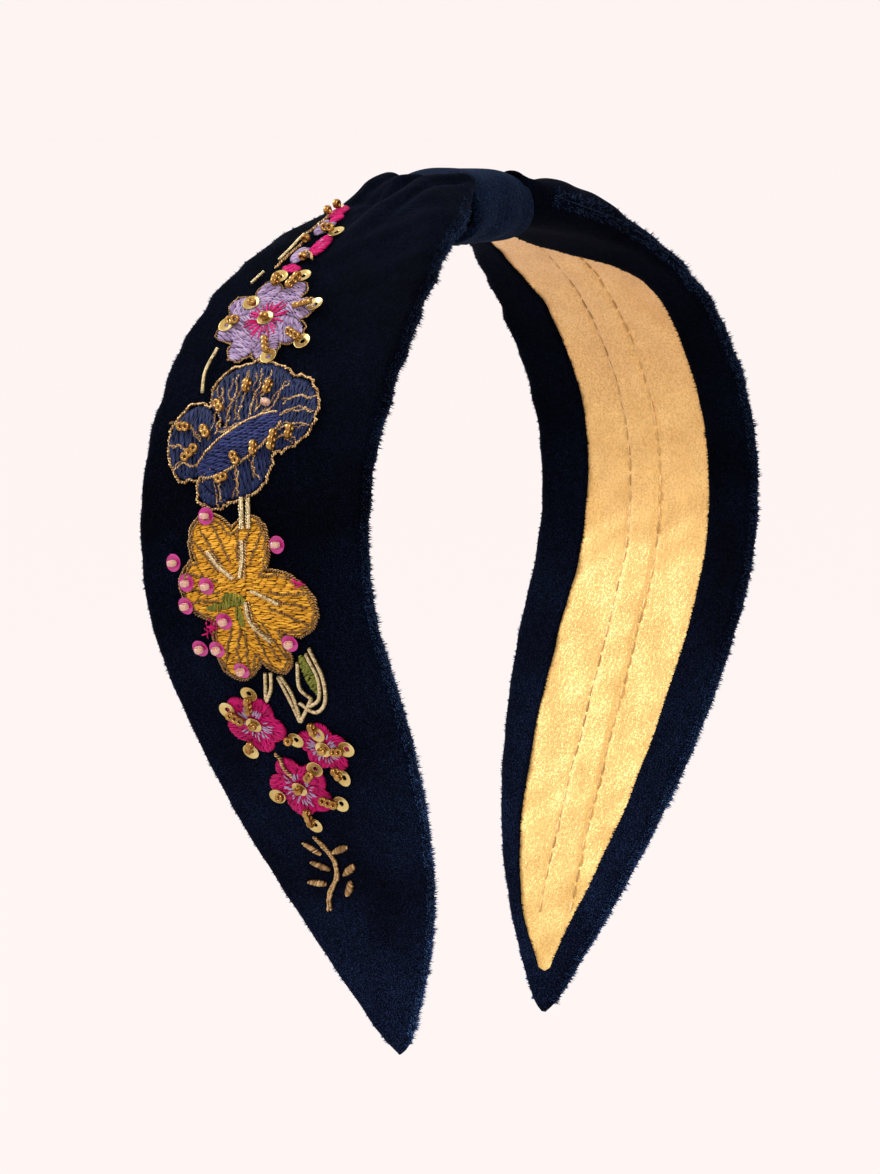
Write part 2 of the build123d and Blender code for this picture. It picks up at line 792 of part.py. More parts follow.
write_both_arms("velvet_cover", [velvet_cover()])
write_both_arms("felt_padding", [felt_padding()])
write_both_arms("lining", [lining()])
write_both_arms("channel_stitches", channel_stitches())
write_both_arms("hoop_tip_cap", [hoop_tip_cap()])
write_both_arms("velvet_pleat", [pleat()])

write_piece("spring_hoop", [spring_hoop()])
write_piece("knot_wrap", [knot_wrap()])
write_piece("gathered_core", [gathered_core()])
write_piece("binding_thread", binding_thread())
write_piece("closing_stitches", closing_stitches())

write_piece("lilac_flower", stitched_patch(lilac_outline(), LILAC_CENTRE[0], VELVET_FACE, SATIN_TOP))
write_piece("lilac_flower_edging", edging(lilac_outline, LILAC_CENTRE[0]))
write_piece(
    "lilac_flower_heart",
    stitched_patch(star_ring(LILAC_CENTRE, *LILAC_STAR), LILAC_CENTRE[0], HEART_LOW, HEART_TOP),
)
write_piece("navy_flower", stitched_patch(navy_outline(), NAVY_CENTRE[0], VELVET_FACE, SATIN_TOP))
write_piece("navy_flower_edging", edging(navy_outline, NAVY_CENTRE[0]))
write_piece("navy_flower_fold", ovals([NAVY_FOLD], HEART_LOW, HEART_TOP))
write_piece("yellow_flower", stitched_patch(yellow_outline(), YELLOW_CENTRE[0], VELVET_FACE, SATIN_TOP))
write_piece("yellow_flower_edging", edging(yellow_outline, YELLOW_CENTRE[0]))
write_piece("yellow_flower_heart", ovals([GREEN_HEART], HEART_LOW, HEART_TOP))
write_piece("yellow_flower_purl", sum((purl(route, PURL_HIGH) for route in YELLOW_PURL), []))
write_piece("pink_flower_upper", pink_flower(UPPER_PINK_CENTRE, 5.9, 20.0))
write_piece("pink_flower_side", pink_flower(SIDE_PINK_CENTRE, 5.0, 50.0))
write_piece("pink_flower_lower", pink_flower(LOWER_PINK_CENTRE, 6.2, 0.0))
write_piece(
    "pink_flower_hearts",
    sum(
        (
            stitched_patch(star_ring(centre, *PINK_STAR), centre[0], HEART_LOW, HEART_TOP)
            for centre in (UPPER_PINK_CENTRE, SIDE_PINK_CENTRE, LOWER_PINK_CENTRE)
        ),
        [],
    ),
)
write_piece("bud_spray_pink", ovals(BUD_PINK, VELVET_FACE, SATIN_TOP))
write_piece("bud_spray_lilac", ovals(BUD_LILAC, VELVET_FACE, SATIN_TOP))
write_piece("stem_wires", sum((purl(route, PURL_LOW) for route in STEM_WIRES), []))
write_piece("flower_stem", sum((purl(route, PURL_HIGH) for route in FLOWER_STEM), []))
write_piece("leaf_purl", sum((purl(route, PURL_LOW) for route in LEAF_PURL), []))
write_piece("green_leaf", ovals([GREEN_LEAF], VELVET_FACE, VELVET_FACE + 0.3))
write_piece("flower_chain", purl(HEART_CHAIN, PURL_HIGH))
write_piece("gold_sprig_stem", purl(SPRIG_STEM, PURL_LOW))
write_piece(
    "gold_sprig_leaves",
    ovals([(s, y, *SPRIG_LEAF, angle) for s, y, angle in SPRIG_LEAVES], VELVET_FACE, SATIN_TOP),
)

flowers = [
    (LILAC_CENTRE, LILAC_SEQUINS),
    (UPPER_PINK_CENTRE, UPPER_PINK_SEQUINS),
    (SIDE_PINK_CENTRE, SIDE_PINK_SEQUINS),
    (LOWER_PINK_CENTRE, LOWER_PINK_SEQUINS),
]
gold_sequins = [flat_sequin(*BUD_SEQUIN[:2])]
gold_beads = sequin_beads(*BUD_SEQUIN)
for centre, sequins in flowers:
    gold_sequins.append(flat_sequin(*centre))
    gold_beads.append(upright_bead(*centre))
    for s, y, count in sequins:
        gold_sequins.append(flat_sequin(s, y))
        gold_beads += sequin_beads(s, y, count, centre)
for string in NAVY_BEADS + BUD_BEADS:
    gold_beads += lying_beads(*string)
gold_beads += [upright_bead(*place) for place in BUD_RINGS]
write_piece("gold_sequins", gold_sequins)
write_piece("gold_beads", gold_beads)
write_piece("magenta_sequins", [flat_sequin(*place) for place in MAGENTA_SEQUINS])
write_piece("clear_beads", [upright_bead(*place) for place in MAGENTA_SEQUINS + [NAVY_CLEAR_BEAD]])
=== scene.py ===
from math import cos, pi, radians, sin, tan

import bmesh
import bpy
import numpy as np
from mathutils import Matrix, Vector


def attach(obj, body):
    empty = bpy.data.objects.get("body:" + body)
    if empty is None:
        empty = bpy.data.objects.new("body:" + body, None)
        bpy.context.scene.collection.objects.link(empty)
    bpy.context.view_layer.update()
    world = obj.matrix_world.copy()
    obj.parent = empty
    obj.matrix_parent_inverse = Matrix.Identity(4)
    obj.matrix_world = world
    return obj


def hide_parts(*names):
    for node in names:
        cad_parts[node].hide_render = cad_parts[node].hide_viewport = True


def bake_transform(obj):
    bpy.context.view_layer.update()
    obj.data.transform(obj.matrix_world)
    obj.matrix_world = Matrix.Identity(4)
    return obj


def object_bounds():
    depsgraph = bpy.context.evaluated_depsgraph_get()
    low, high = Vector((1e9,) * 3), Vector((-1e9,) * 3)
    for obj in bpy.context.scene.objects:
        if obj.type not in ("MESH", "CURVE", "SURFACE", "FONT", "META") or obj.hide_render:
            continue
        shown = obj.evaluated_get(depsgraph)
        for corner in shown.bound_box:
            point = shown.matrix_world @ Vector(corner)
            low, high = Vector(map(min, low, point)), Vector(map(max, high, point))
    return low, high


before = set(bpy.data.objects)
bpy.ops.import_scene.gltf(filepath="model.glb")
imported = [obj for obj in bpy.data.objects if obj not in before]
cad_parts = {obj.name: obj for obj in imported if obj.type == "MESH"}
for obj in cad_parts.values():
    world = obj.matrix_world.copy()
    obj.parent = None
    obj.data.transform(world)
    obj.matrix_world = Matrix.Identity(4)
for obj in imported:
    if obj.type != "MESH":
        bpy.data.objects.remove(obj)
CAD_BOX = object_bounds()
rng = np.random.default_rng(7)

# ---------------------------------------------------------------------------
# Driving dimensions, in millimetres and degrees, in the CAD's frame.
# A place on the band is s, the length along the arch from its top, y across
# the band, and n, the height above the middle of its thickness.
# ---------------------------------------------------------------------------

MM = 0.001
LEFT, RIGHT = -1, 1
ARM_NAME = {LEFT: "left", RIGHT: "right"}
TOP_HEIGHT = 72.0
ARCH = [(66.0, 62.0), (40.5, 57.0), (None, 42.0), (-170.0, 12.5)]
HALF_THICKNESS = 1.7
VELVET = 0.8
TAPER_TURN = 27.4
TIP_HALF_WIDTH = 1.2
COVER_START = 7.4
SATIN = 2.05
WRAP_HALF_LENGTH = 9.0
WRAP_HALF_WIDTH = 11.2
WRAP_HALF_HEIGHT = 6.5
WRAP_HEIGHT = 70.3

# Half width of the band from the knot to its full width, at lengths s.
EDGE = ([6, 9, 13, 20, 27, 33, 40, 48, 56, 64], [9.4, 10.3, 11.9, 15.0, 16.8, 18.4, 19.9, 21.2, 22.1, 22.4])
# Height of the puffed velvet, depth of its inner side, and how round the section is.
PUFF = {
    LEFT: ([6, 9, 13, 16, 20, 25, 30, 36, 44], [4.0, 5.0, 5.6, 5.4, 4.6, 3.6, 2.8, 2.1, 1.7]),
    RIGHT: ([6, 9, 13, 18, 24, 28, 33, 40], [3.6, 4.0, 4.4, 5.0, 4.7, 3.5, 2.3, 1.7]),
}
DEPTH = ([6, 9, 13, 20, 28, 36, 48], [4.4, 4.8, 4.5, 3.9, 2.9, 2.1, 1.7])
ROUND = ([8, 14, 20, 26, 34, 46], [1.0, 0.85, 0.6, 0.35, 0.12, 0.0])
# How far the rear and front edges rise onto the knot.
LIFT = {
    LEFT: ([7, 10, 13, 18], [3.6, 2.4, 0.6, 0.0]),
    RIGHT: ([7, 10, 14, 19], [3.2, 2.2, 0.6, 0.0]),
}
# The lining's front and rear edges.
LINING_FRONT = (
    [8, 28, 32, 36, 38, 39.5, 45, 52, 84, 121, 140, 155, 167, 174, 185],
    [-1.0, 4.0, 4.0, 1.5, -2.4, -6.0, -12.2, -13.8, -13.5, -13.8, -12.2, -10.1, -6.9, -4.4, -0.6],
)
LINING_REAR = (
    [8, 28, 33, 40, 47, 53, 77, 95, 122, 141, 157, 168, 175, 185],
    [4.0, 10.6, 11.9, 13.0, 12.6, 11.4, 11.4, 12.3, 13.2, 12.9, 11.2, 8.8, 6.6, 0.8],
)
LINING_END = 185.0
CHANNEL_HALF = 3.15
LINING_TUCK = 0.25
LINING_STEP = 0.35
# The valley between the velvet's front lobe and rear fold: its y and its depth.
VALLEY = ([8, 13, 18, 24, 34], [-2.6, 0.2, 1.6, 3.4, 6.0])
VALLEY_DEPTH = ([6, 10, 18, 26, 34], [2.3, 2.3, 1.7, 0.7, 0.0])
EDGE_WAVE = 0.26
HOOP_END = 183.0
CORE_HALF_LENGTH = 6.2
CORE_HALF_WIDTH = 8.2
CORE_HALF_HEIGHT = 3.7
CORE_HEIGHT = 69.9
TUFT_RADIUS = 0.11
PURL_WIRE = 0.1
# The rise of the embroidery ends here, where the cover is flat.
PUFF_END = 60


def arch_lengths():
    """The arch's pieces as radius and length."""
    return [(radius, turn if radius is None else abs(radius) * radians(turn)) for radius, turn in ARCH]


ARCH_END = sum(length for _, length in arch_lengths())


def arch(s):
    """x, z and downward heading of the right arm's middle line at lengths s."""
    left = np.maximum(np.asarray(s, float), 0)
    x, z, heading = np.zeros_like(left), np.full_like(left, TOP_HEIGHT), np.zeros_like(left)
    pieces = arch_lengths()
    for i, (radius, length) in enumerate(pieces):
        step = left if i == len(pieces) - 1 else np.minimum(left, length)
        if radius is None:
            x = x + step * np.cos(heading)
            z = z - step * np.sin(heading)
        else:
            turned = heading + step / radius
            x = x + radius * (np.sin(turned) - np.sin(heading))
            z = z + radius * (np.cos(turned) - np.cos(heading))
            heading = turned
        left = left - step
    return x, z, heading


def place(side, s, y, n):
    """Points at s, y and n on an arm, as rows of x, y, z."""
    s, y, n = np.broadcast_arrays(np.asarray(s, float), np.asarray(y, float), np.asarray(n, float))
    x, z, heading = arch(s)
    return np.stack([side * (x + n * np.sin(heading)), y, z + n * np.cos(heading)], -1)


def outward(side, s):
    """The band's outward direction at s."""
    _, _, heading = arch(s)
    return np.stack([side * np.sin(heading), np.zeros_like(heading), np.cos(heading)], -1)


def smooth(table, s, reach=2.5):
    """A table's value at s, rounded off over a short reach."""
    s = np.asarray(s, float)
    return np.mean([np.interp(s + d, *table) for d in np.linspace(-reach, reach, 7)], axis=0)


def ripple(*terms):
    """A sum of sine waves, each (amplitude, x, y, phase)."""
    return sum(a * np.sin(u + v + p) for a, u, v, p in terms)


TIP_HEIGHT = float(arch(ARCH_END)[1]) - 1.0
TAPER_RADIUS = (-TIP_HEIGHT * tan(radians(TAPER_TURN)) - EDGE[1][-1] + TIP_HALF_WIDTH) / (
    1 / cos(radians(TAPER_TURN)) - 1
)


def half_width(s):
    """Half the band's width at s."""
    z = arch(s)[1]
    turn = np.arcsin(np.clip(-z / TAPER_RADIUS, 0, sin(radians(TAPER_TURN))))
    drop = TAPER_RADIUS * (1 - np.cos(turn))
    beyond = np.maximum(-z - TAPER_RADIUS * sin(radians(TAPER_TURN)), 0) * tan(radians(TAPER_TURN))
    width = np.minimum(smooth(EDGE, s), EDGE[1][-1] - drop - beyond)
    tip = np.clip((ARCH_END + 0.9 - s) / 2.6, 0, 1)
    return np.maximum(width, TIP_HALF_WIDTH) * np.sqrt(1 - (1 - tip) ** 2)


def edge_wave(side, s, rear):
    """The slight waviness of the folded edges, strongest beside the knot."""
    near = 0.25 + 0.75 * np.exp(-((s - 45) / 30) ** 2)
    phase = side * 1.3 + rear * 2.1
    waves = (1, s * 0.71, 0, phase), (0.7, s * 0.43, 0, 2 * phase), (0.35, s * 1.37, 0, phase)
    return EDGE_WAVE * near * ripple(*waves)


# ---------------------------------------------------------------------------
# Mesh helpers
# ---------------------------------------------------------------------------


def mesh_object(name, points, faces, tone=None, sharp=False):
    """A mesh object from millimetre points and faces."""
    mesh = bpy.data.meshes.new(name)
    mesh.from_pydata((np.asarray(points) * MM).tolist(), [], [list(map(int, f)) for f in faces])
    mesh.validate()
    mesh.polygons.foreach_set("use_smooth", [not sharp] * len(mesh.polygons))
    if tone is not None:
        layer = mesh.attributes.new("tone", "FLOAT", "POINT")
        layer.data.foreach_set("value", np.asarray(tone, np.float32))
    obj = bpy.data.objects.new(name, mesh)
    bpy.context.scene.collection.objects.link(obj)
    return obj


def grid_faces(rows, columns, closed_rows=False, closed_columns=False, start=0):
    """Quads of a grid of points, numbered row by row."""
    r = np.arange(rows if closed_rows else rows - 1)
    c = np.arange(columns if closed_columns else columns - 1)
    r, c = np.meshgrid(r, c, indexing="ij")
    r2, c2 = (r + 1) % rows, (c + 1) % columns
    quad = [r * columns + c, r * columns + c2, r2 * columns + c2, r2 * columns + c]
    return np.stack(quad, -1).reshape(-1, 4) + start


def finish_mesh(obj):
    """Turn the faces outwards."""
    bm = bmesh.new()
    bm.from_mesh(obj.data)
    bmesh.ops.recalc_face_normals(bm, faces=bm.faces)
    bm.to_mesh(obj.data)
    bm.free()
    return obj


def shell(name, rows):
    """A closed sheet whose rows run along one face and back along the other."""
    block = np.asarray(rows)
    count, columns = block.shape[:2]
    faces = grid_faces(count, columns, closed_columns=True).tolist()
    for row, flip in ((0, 1), (count - 1, -1)):
        base = row * columns
        for c in range(columns // 2 - 1):
            faces.append([base + c, base + c + 1, base + columns - 2 - c, base + columns - 1 - c][::flip])
    return finish_mesh(mesh_object(name, block.reshape(-1, 3), faces))


def bar(name, rows, sharp=False):
    """A closed bar through rows of points, with flat ends."""
    block = np.asarray(rows)
    count, columns = block.shape[:2]
    last = (count - 1) * columns
    faces = grid_faces(count, columns, closed_columns=True).tolist()
    faces += [list(range(columns))[::-1], [last + i for i in range(columns)]]
    return finish_mesh(mesh_object(name, block.reshape(-1, 3), faces, sharp=sharp))


def tubes(lines, radius, normals=None, sides=6, flat=1.0, ends=0.45):
    """Points and faces of a tube along each line of a block of equally long lines."""
    lines = np.asarray(lines, float)
    count, length, _ = lines.shape
    along = np.gradient(lines, axis=1)
    along /= np.maximum(np.linalg.norm(along, axis=2, keepdims=True), 1e-9)
    if normals is None:
        normals = np.broadcast_to(np.array([0.31, 0.17, 0.93]), lines.shape)
    across = np.cross(along, normals)
    across /= np.maximum(np.linalg.norm(across, axis=2, keepdims=True), 1e-9)
    up = np.cross(across, along)
    t = np.linspace(0, 1, length)
    shape = np.ones(length)
    if ends < 1:
        shape = ends + (1 - ends) * np.minimum(1, np.sqrt(np.clip(np.minimum(t, 1 - t) * length / 1.6, 0, 1)))
    angle = np.arange(sides) * 2 * pi / sides
    ring = (
        across[:, :, None, :] * np.cos(angle)[None, None, :, None]
        + up[:, :, None, :] * (flat * np.sin(angle))[None, None, :, None]
    )
    points = lines[:, :, None, :] + ring * (radius * shape)[None, :, None, None]
    one = grid_faces(length, sides, closed_columns=True)
    faces = (one[None] + (np.arange(count) * length * sides)[:, None, None]).reshape(-1, 4)
    caps = []
    for i in range(count):
        first = i * length * sides
        caps.append([first + j for j in range(sides)][::-1])
        caps.append([first + (length - 1) * sides + j for j in range(sides)])
    return points.reshape(-1, 3), [*faces.tolist(), *caps]


def joined(parts):
    """One list of points, faces and tones from several (points, faces, tone) parts."""
    points, faces, tones, start = [], [], [], 0
    for p, f, tone in parts:
        points.append(p)
        faces += [[i + start for i in face] for face in f]
        tones.append(np.broadcast_to(tone, len(p)) if np.ndim(tone) == 0 else tone)
        start += len(p)
    return np.concatenate(points), faces, np.concatenate(tones)


# ---------------------------------------------------------------------------
# Materials
# ---------------------------------------------------------------------------


def new_material(name, **sockets):
    """A Principled material with values set on the shader's own sockets."""
    made = bpy.data.materials.new(name)
    made.use_nodes = True
    shader = made.node_tree.nodes["Principled BSDF"]
    for key, value in sockets.items():
        shader.inputs[key.replace("_", " ")].default_value = value
    return made, made.node_tree, shader


def add_node(tree, kind, **values):
    """A shader node with its inputs or properties set."""
    node = tree.nodes.new(kind)
    for key, value in values.items():
        if key in node.inputs:
            node.inputs[key].default_value = value
        else:
            setattr(node, key, value)
    return node


def noise(tree, scale, detail=3.0, stretch=None):
    """Noise in object space, at a scale in cycles per metre, perhaps stretched."""
    place_node = add_node(tree, "ShaderNodeTexCoord")
    texture = add_node(tree, "ShaderNodeTexNoise", Scale=scale, Detail=detail)
    source = place_node.outputs["Object"]
    if stretch:
        mapping = add_node(tree, "ShaderNodeMapping", Scale=stretch)
        tree.links.new(source, mapping.inputs["Vector"])
        source = mapping.outputs["Vector"]
    tree.links.new(source, texture.inputs["Vector"])
    return texture.outputs["Fac"]


def ramp(tree, source, stops):
    """A colour ramp from (position, colour) stops."""
    node = add_node(tree, "ShaderNodeValToRGB")
    for i, (position, colour) in enumerate(stops):
        stop = node.color_ramp.elements[i] if i < 2 else node.color_ramp.elements.new(position)
        stop.position = position
        stop.color = (*colour, 1)
    tree.links.new(source, node.inputs["Fac"])
    return node.outputs["Color"]


def bump(tree, shader, source, distance, strength=1.0, after=None):
    """Bump by a height source, over any bump that is there already."""
    node = add_node(tree, "ShaderNodeBump", Strength=strength, Distance=distance * MM)
    tree.links.new(source, node.inputs["Height"])
    if after:
        tree.links.new(after, node.inputs["Normal"])
    tree.links.new(node.outputs["Normal"], shader.inputs["Normal"])
    return node.outputs["Normal"]


def tone_of(tree):
    """The tone that each thread or stitch carries."""
    return add_node(tree, "ShaderNodeAttribute", attribute_name="tone").outputs["Fac"]


def set_or_link(tree, socket, value):
    """Link an output to a socket, or set the socket's own value."""
    if isinstance(value, bpy.types.NodeSocket):
        tree.links.new(value, socket)
    else:
        socket.default_value = value


def multiply(tree, first, second, factor=1.0):
    """The first colour multiplied by the second, as far as the factor says."""
    node = add_node(tree, "ShaderNodeMix", data_type="RGBA", blend_type="MULTIPLY")
    first_colour, second_colour = node.inputs[6], node.inputs[7]
    set_or_link(tree, node.inputs["Factor"], factor)
    set_or_link(tree, first_colour, first)
    set_or_link(tree, second_colour, second)
    return node.outputs[2]


def by_height(tree, start, end, low=0.0, high=1.0):
    """A value from low to high between two heights in metres."""
    height = add_node(tree, "ShaderNodeSeparateXYZ")
    tree.links.new(add_node(tree, "ShaderNodeTexCoord").outputs["Object"], height.inputs["Vector"])
    share = add_node(tree, "ShaderNodeMapRange")
    for key, value in {"From Min": start, "From Max": end, "To Min": low, "To Max": high}.items():
        share.inputs[key].default_value = value
    tree.links.new(height.outputs["Z"], share.inputs["Value"])
    return share.outputs["Result"]


def grey(*values):
    """Ramp stops of grey from (position, brightness) pairs."""
    return [(position, (value,) * 3) for position, value in values]


def velvet(name, low, high, sheen, tint):
    """Short dense pile: nearly black face on, lit at grazing angles, with nap in patches and painted light
    that makes the base colour lighter towards the bottom.
    """
    made, tree, shader = new_material(
        name,
        Roughness=0.85,
        Specular_IOR_Level=0.012,
        Sheen_Weight=sheen,
        Sheen_Roughness=0.24,
        Sheen_Tint=(*tint, 1),
    )
    nap = ramp(tree, noise(tree, 60, 4), [(0.35, low), (0.7, high)])
    speck = ramp(tree, noise(tree, 4300, 3), grey((0.36, 0.1), (0.54, 1), (0.68, 4.2)))
    # Painted light: the base colour is made 1.2 times lighter at 20 mm height, growing to 5 times lighter at
    # 60 mm below the middle height.
    base_with_painted_light_below = multiply(tree, multiply(tree, nap, speck), by_height(tree, 0.02, -0.06, 1.2, 5.0))
    tree.links.new(base_with_painted_light_below, shader.inputs["Base Color"])
    pile = bump(tree, shader, noise(tree, 4600, 2), 0.22, 0.9)
    bump(tree, shader, noise(tree, 900, 3, (1, 1, 0.4)), 0.3, 0.6, pile)
    return made


def lame(name):
    """Metallic suede: warm gold with a fine rib, soft blotches and small glints, painted lighter and bluer
    towards the top as painted light.
    """
    made, tree, shader = new_material(
        name, Metallic=0.35, Roughness=0.5, Specular_IOR_Level=0.5, Sheen_Weight=0.25, Sheen_Roughness=0.5
    )
    blotch = ramp(
        tree,
        noise(tree, 150, 6),
        [(0.3, (0.72, 0.45, 0.13)), (0.5, (0.79, 0.51, 0.155)), (0.72, (0.85, 0.57, 0.18))],
    )
    # The fine colour speckle is partly the suede's own grain and partly painted glitter.
    grain = ramp(
        tree,
        noise(tree, 2600, 4),
        [(0.34, (0.78, 0.74, 0.66)), (0.5, (0.93, 0.93, 0.93)), (0.68, (1.22, 1.18, 1.1))],
    )
    speckled = multiply(tree, blotch, grain, 0.85)
    # Painted light: from 10 mm below the middle height up to 60 mm, the lining is painted lighter and bluer
    # to even out how the lamps light its lower part.
    painted_light_on_top = multiply(tree, speckled, (1.08, 1.0, 1.3, 1), by_height(tree, -0.01, 0.06))
    tree.links.new(painted_light_on_top, shader.inputs["Base Color"])
    glint = ramp(tree, noise(tree, 2600, 2), grey((0.42, 0.62), (0.66, 0.25)))
    tree.links.new(glint, shader.inputs["Roughness"])
    rib = bump(tree, shader, noise(tree, 1500, 2, (1, 1, 0.25)), 0.16, 0.7)
    bump(tree, shader, noise(tree, 4200, 2), 0.1, 0.9, rib)
    return made


def threaded(name, stops, grain, strength, **sockets):
    """A material whose shade follows the tone that each thread carries."""
    made, tree, shader = new_material(name, **sockets)
    tree.links.new(ramp(tree, tone_of(tree), stops), shader.inputs["Base Color"])
    bump(tree, shader, noise(tree, grain, 2), 0.05, strength)
    return made


def silk(name, dark, mid, light):
    """Stranded embroidery silk, its shade varying from stitch to stitch."""
    gloss = {"Roughness": 0.42, "Specular_IOR_Level": 0.13, "Sheen_Weight": 0.02, "Sheen_Roughness": 0.35}
    return threaded(name, [(0.0, dark), (0.45, mid), (1.0, light)], 6500, 0.7, **gloss)


def metal_thread(name, dark, mid, light, rough=0.34, metallic=0.85):
    """Thread or wire wound with metal, glinting from place to place."""
    stops = [(0.0, dark), (0.5, mid), (1.0, light)]
    return threaded(name, stops, 5000, 0.8, Metallic=metallic, Roughness=rough)


def coated(name, low, high, rough, metallic, scale, **more):
    """A smooth coated surface with slight variation in colour."""
    made, tree, shader = new_material(name, Metallic=metallic, Roughness=rough, **more)
    tree.links.new(ramp(tree, noise(tree, scale, 2), [(0.35, low), (0.7, high)]), shader.inputs["Base Color"])
    bump(tree, shader, noise(tree, 1800, 2), 0.03, 0.4)
    return made


NAVY_VELVET = velvet(
    "navy_velvet", (0.0004, 0.0006, 0.0018), (0.0009, 0.0018, 0.0052), 0.028, (0.22, 0.42, 0.85)
)
WRAP_VELVET = velvet(
    "wrap_velvet", (0.0013, 0.0025, 0.0075), (0.0026, 0.006, 0.016), 0.08, (0.24, 0.45, 0.90)
)
# The pile along the folded edges is a lighter copy of the velvet with more sheen: painted light for the
# bright fuzzy rim.
PAINTED_LIT_PILE = velvet("velvet_pile_painted_lit", (0.003, 0.006, 0.016), (0.008, 0.018, 0.045), 0.22, (0.30, 0.48, 0.95))
LINING = lame("metallic_lining")
LINING_THREAD = metal_thread(
    "lining_thread", (0.42, 0.25, 0.09), (0.62, 0.41, 0.16), (0.8, 0.58, 0.28), 0.5, 0.4
)
NAVY_THREAD = silk("navy_thread", (0.004, 0.007, 0.02), (0.008, 0.013, 0.04), (0.02, 0.03, 0.08))
LILAC = silk("lilac_silk", (0.09, 0.05, 0.12), (0.27, 0.19, 0.33), (0.46, 0.35, 0.52))
PINK = silk("pink_silk", (0.12, 0.001, 0.03), (0.42, 0.002, 0.09), (0.60, 0.006, 0.17))
NAVY = silk("navy_silk", (0.001, 0.002, 0.010), (0.004, 0.009, 0.042), (0.012, 0.022, 0.085))
BLUE = silk("blue_silk", (0.003, 0.005, 0.026), (0.011, 0.017, 0.080), (0.028, 0.038, 0.15))
YELLOW = silk("yellow_silk", (0.16, 0.055, 0.006), (0.64, 0.30, 0.018), (0.90, 0.50, 0.05))
GREEN = silk("green_silk", (0.03, 0.035, 0.004), (0.12, 0.14, 0.015), (0.24, 0.25, 0.04))
GOLD_THREAD = metal_thread("gold_thread", (0.07, 0.03, 0.01), (0.34, 0.19, 0.07), (0.75, 0.52, 0.25))
PURL = metal_thread("gold_purl", (0.16, 0.11, 0.045), (0.62, 0.48, 0.24), (0.95, 0.80, 0.50), 0.3, 0.8)
SEQUIN_GOLD = coated("gold_sequin", (0.50, 0.34, 0.09), (0.76, 0.60, 0.25), 0.24, 0.75, 300)
SEQUIN_PINK = coated(
    "magenta_sequin", (0.38, 0.004, 0.16), (0.60, 0.02, 0.30), 0.22, 0.25, 300, Coat_Weight=0.6
)
BEAD_GOLD = coated("gold_bead", (0.26, 0.12, 0.025), (0.52, 0.30, 0.085), 0.24, 0.9, 900)
BEAD_CLEAR = coated(
    "clear_bead", (0.86, 0.55, 0.40), (0.95, 0.72, 0.58), 0.08, 0.0, 900, Transmission_Weight=0.55
)
COPPER = coated("copper_lining", (0.60, 0.26, 0.14), (0.80, 0.42, 0.25), 0.3, 0.9, 1500)
STEEL = coated("sprung_steel", (0.30, 0.31, 0.33), (0.45, 0.46, 0.48), 0.32, 1.0, 500)
CAP = coated("cap_plastic", (0.02, 0.02, 0.022), (0.045, 0.045, 0.05), 0.45, 0.0, 800)
FELT = coated("felt", (0.05, 0.055, 0.07), (0.11, 0.115, 0.13), 0.95, 0.0, 2500, Sheen_Weight=0.4)


def dress(obj, material, body=None, replaces=()):
    """Give a piece its material in one slot and its body, and hide the CAD nodes that it stands for."""
    obj.data.materials.clear()
    obj.data.materials.append(material)
    if replaces:
        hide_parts(*replaces)
    if body:
        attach(obj, body)
    return obj


def bend_with(obj):
    """Bake the placement of a piece that leaves the knot into its mesh."""
    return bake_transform(obj)


# ---------------------------------------------------------------------------
# The velvet covers, the lining and the knot
# ---------------------------------------------------------------------------


def band_section(side, s, y, inset=0.0):
    """Heights of the outer and inner faces at s and y, less an inset."""
    width = np.maximum(half_width(s) - inset, 0.05)
    flat_roll = np.minimum(HALF_THICKNESS, width)
    roll = flat_roll + (0.92 * width - flat_roll) * smooth(ROUND, s)
    over = np.clip((np.abs(y) - (width - roll)) / roll, 0, 1)
    full = np.sqrt(np.maximum(1 - over**2, 0))
    lift = smooth(LIFT[side], s, 1.5) * (y / width) ** 2
    near = np.clip((46 - s) / 30, 0, 1)
    taper = np.clip(half_width(s) / 4.0, 0.35, 1)
    top = (smooth(PUFF[side], s) - inset) * taper
    bottom = (smooth(DEPTH, s) - inset) * taper
    # Away from the knot the rear part lies flat.
    behind = np.clip((y + 1) / 5.5, 0, 1) ** 2 * np.clip((s - 11) / 6, 0, 1)
    top = top - behind * np.maximum(top - (HALF_THICKNESS - inset), 0)
    # A valley between the front lobe and the rear fold, and shallower gathers beside it.
    valley_y = np.interp(s, *VALLEY)
    depth = np.interp(s, *VALLEY_DEPTH)
    top = top - depth * np.exp(-(((y - valley_y) / 2.1) ** 2))
    top = top - 0.5 * depth * np.exp(-(((y - valley_y + 7.5) / 1.5) ** 2))
    top = top - 0.4 * depth * np.exp(-(((y - valley_y - 7.0) / 1.6) ** 2))
    broad, slanted = (0.16, 0.31 * s, 0.42 * y, side), (0.10, -0.55 * s, 0.37 * y, 2.0)
    wave = ripple(broad, slanted, (0.06, 0.9 * s, -0.8 * y, 1.0))
    outer = lift + np.maximum(top + wave * (0.35 + near), (1.65 - inset) * taper) * full
    inner = lift - bottom * full + 0.4 * wave * full
    return outer, inner


def rise_at(s, y):
    """How far the left cover's outer face stands above its usual height at s and y."""
    outer, _ = band_section(LEFT, np.asarray(s, float), np.asarray(y, float))
    return np.where(np.asarray(s) < PUFF_END, outer - HALF_THICKNESS, 0.0)


def cover_rows():
    """Lengths s of a cover's rows, closer beside the knot and at the tip."""
    return np.concatenate(
        [np.arange(COVER_START, 46, 0.75), np.arange(46, 184, 1.4), np.linspace(184, ARCH_END + 0.85, 12)]
    )


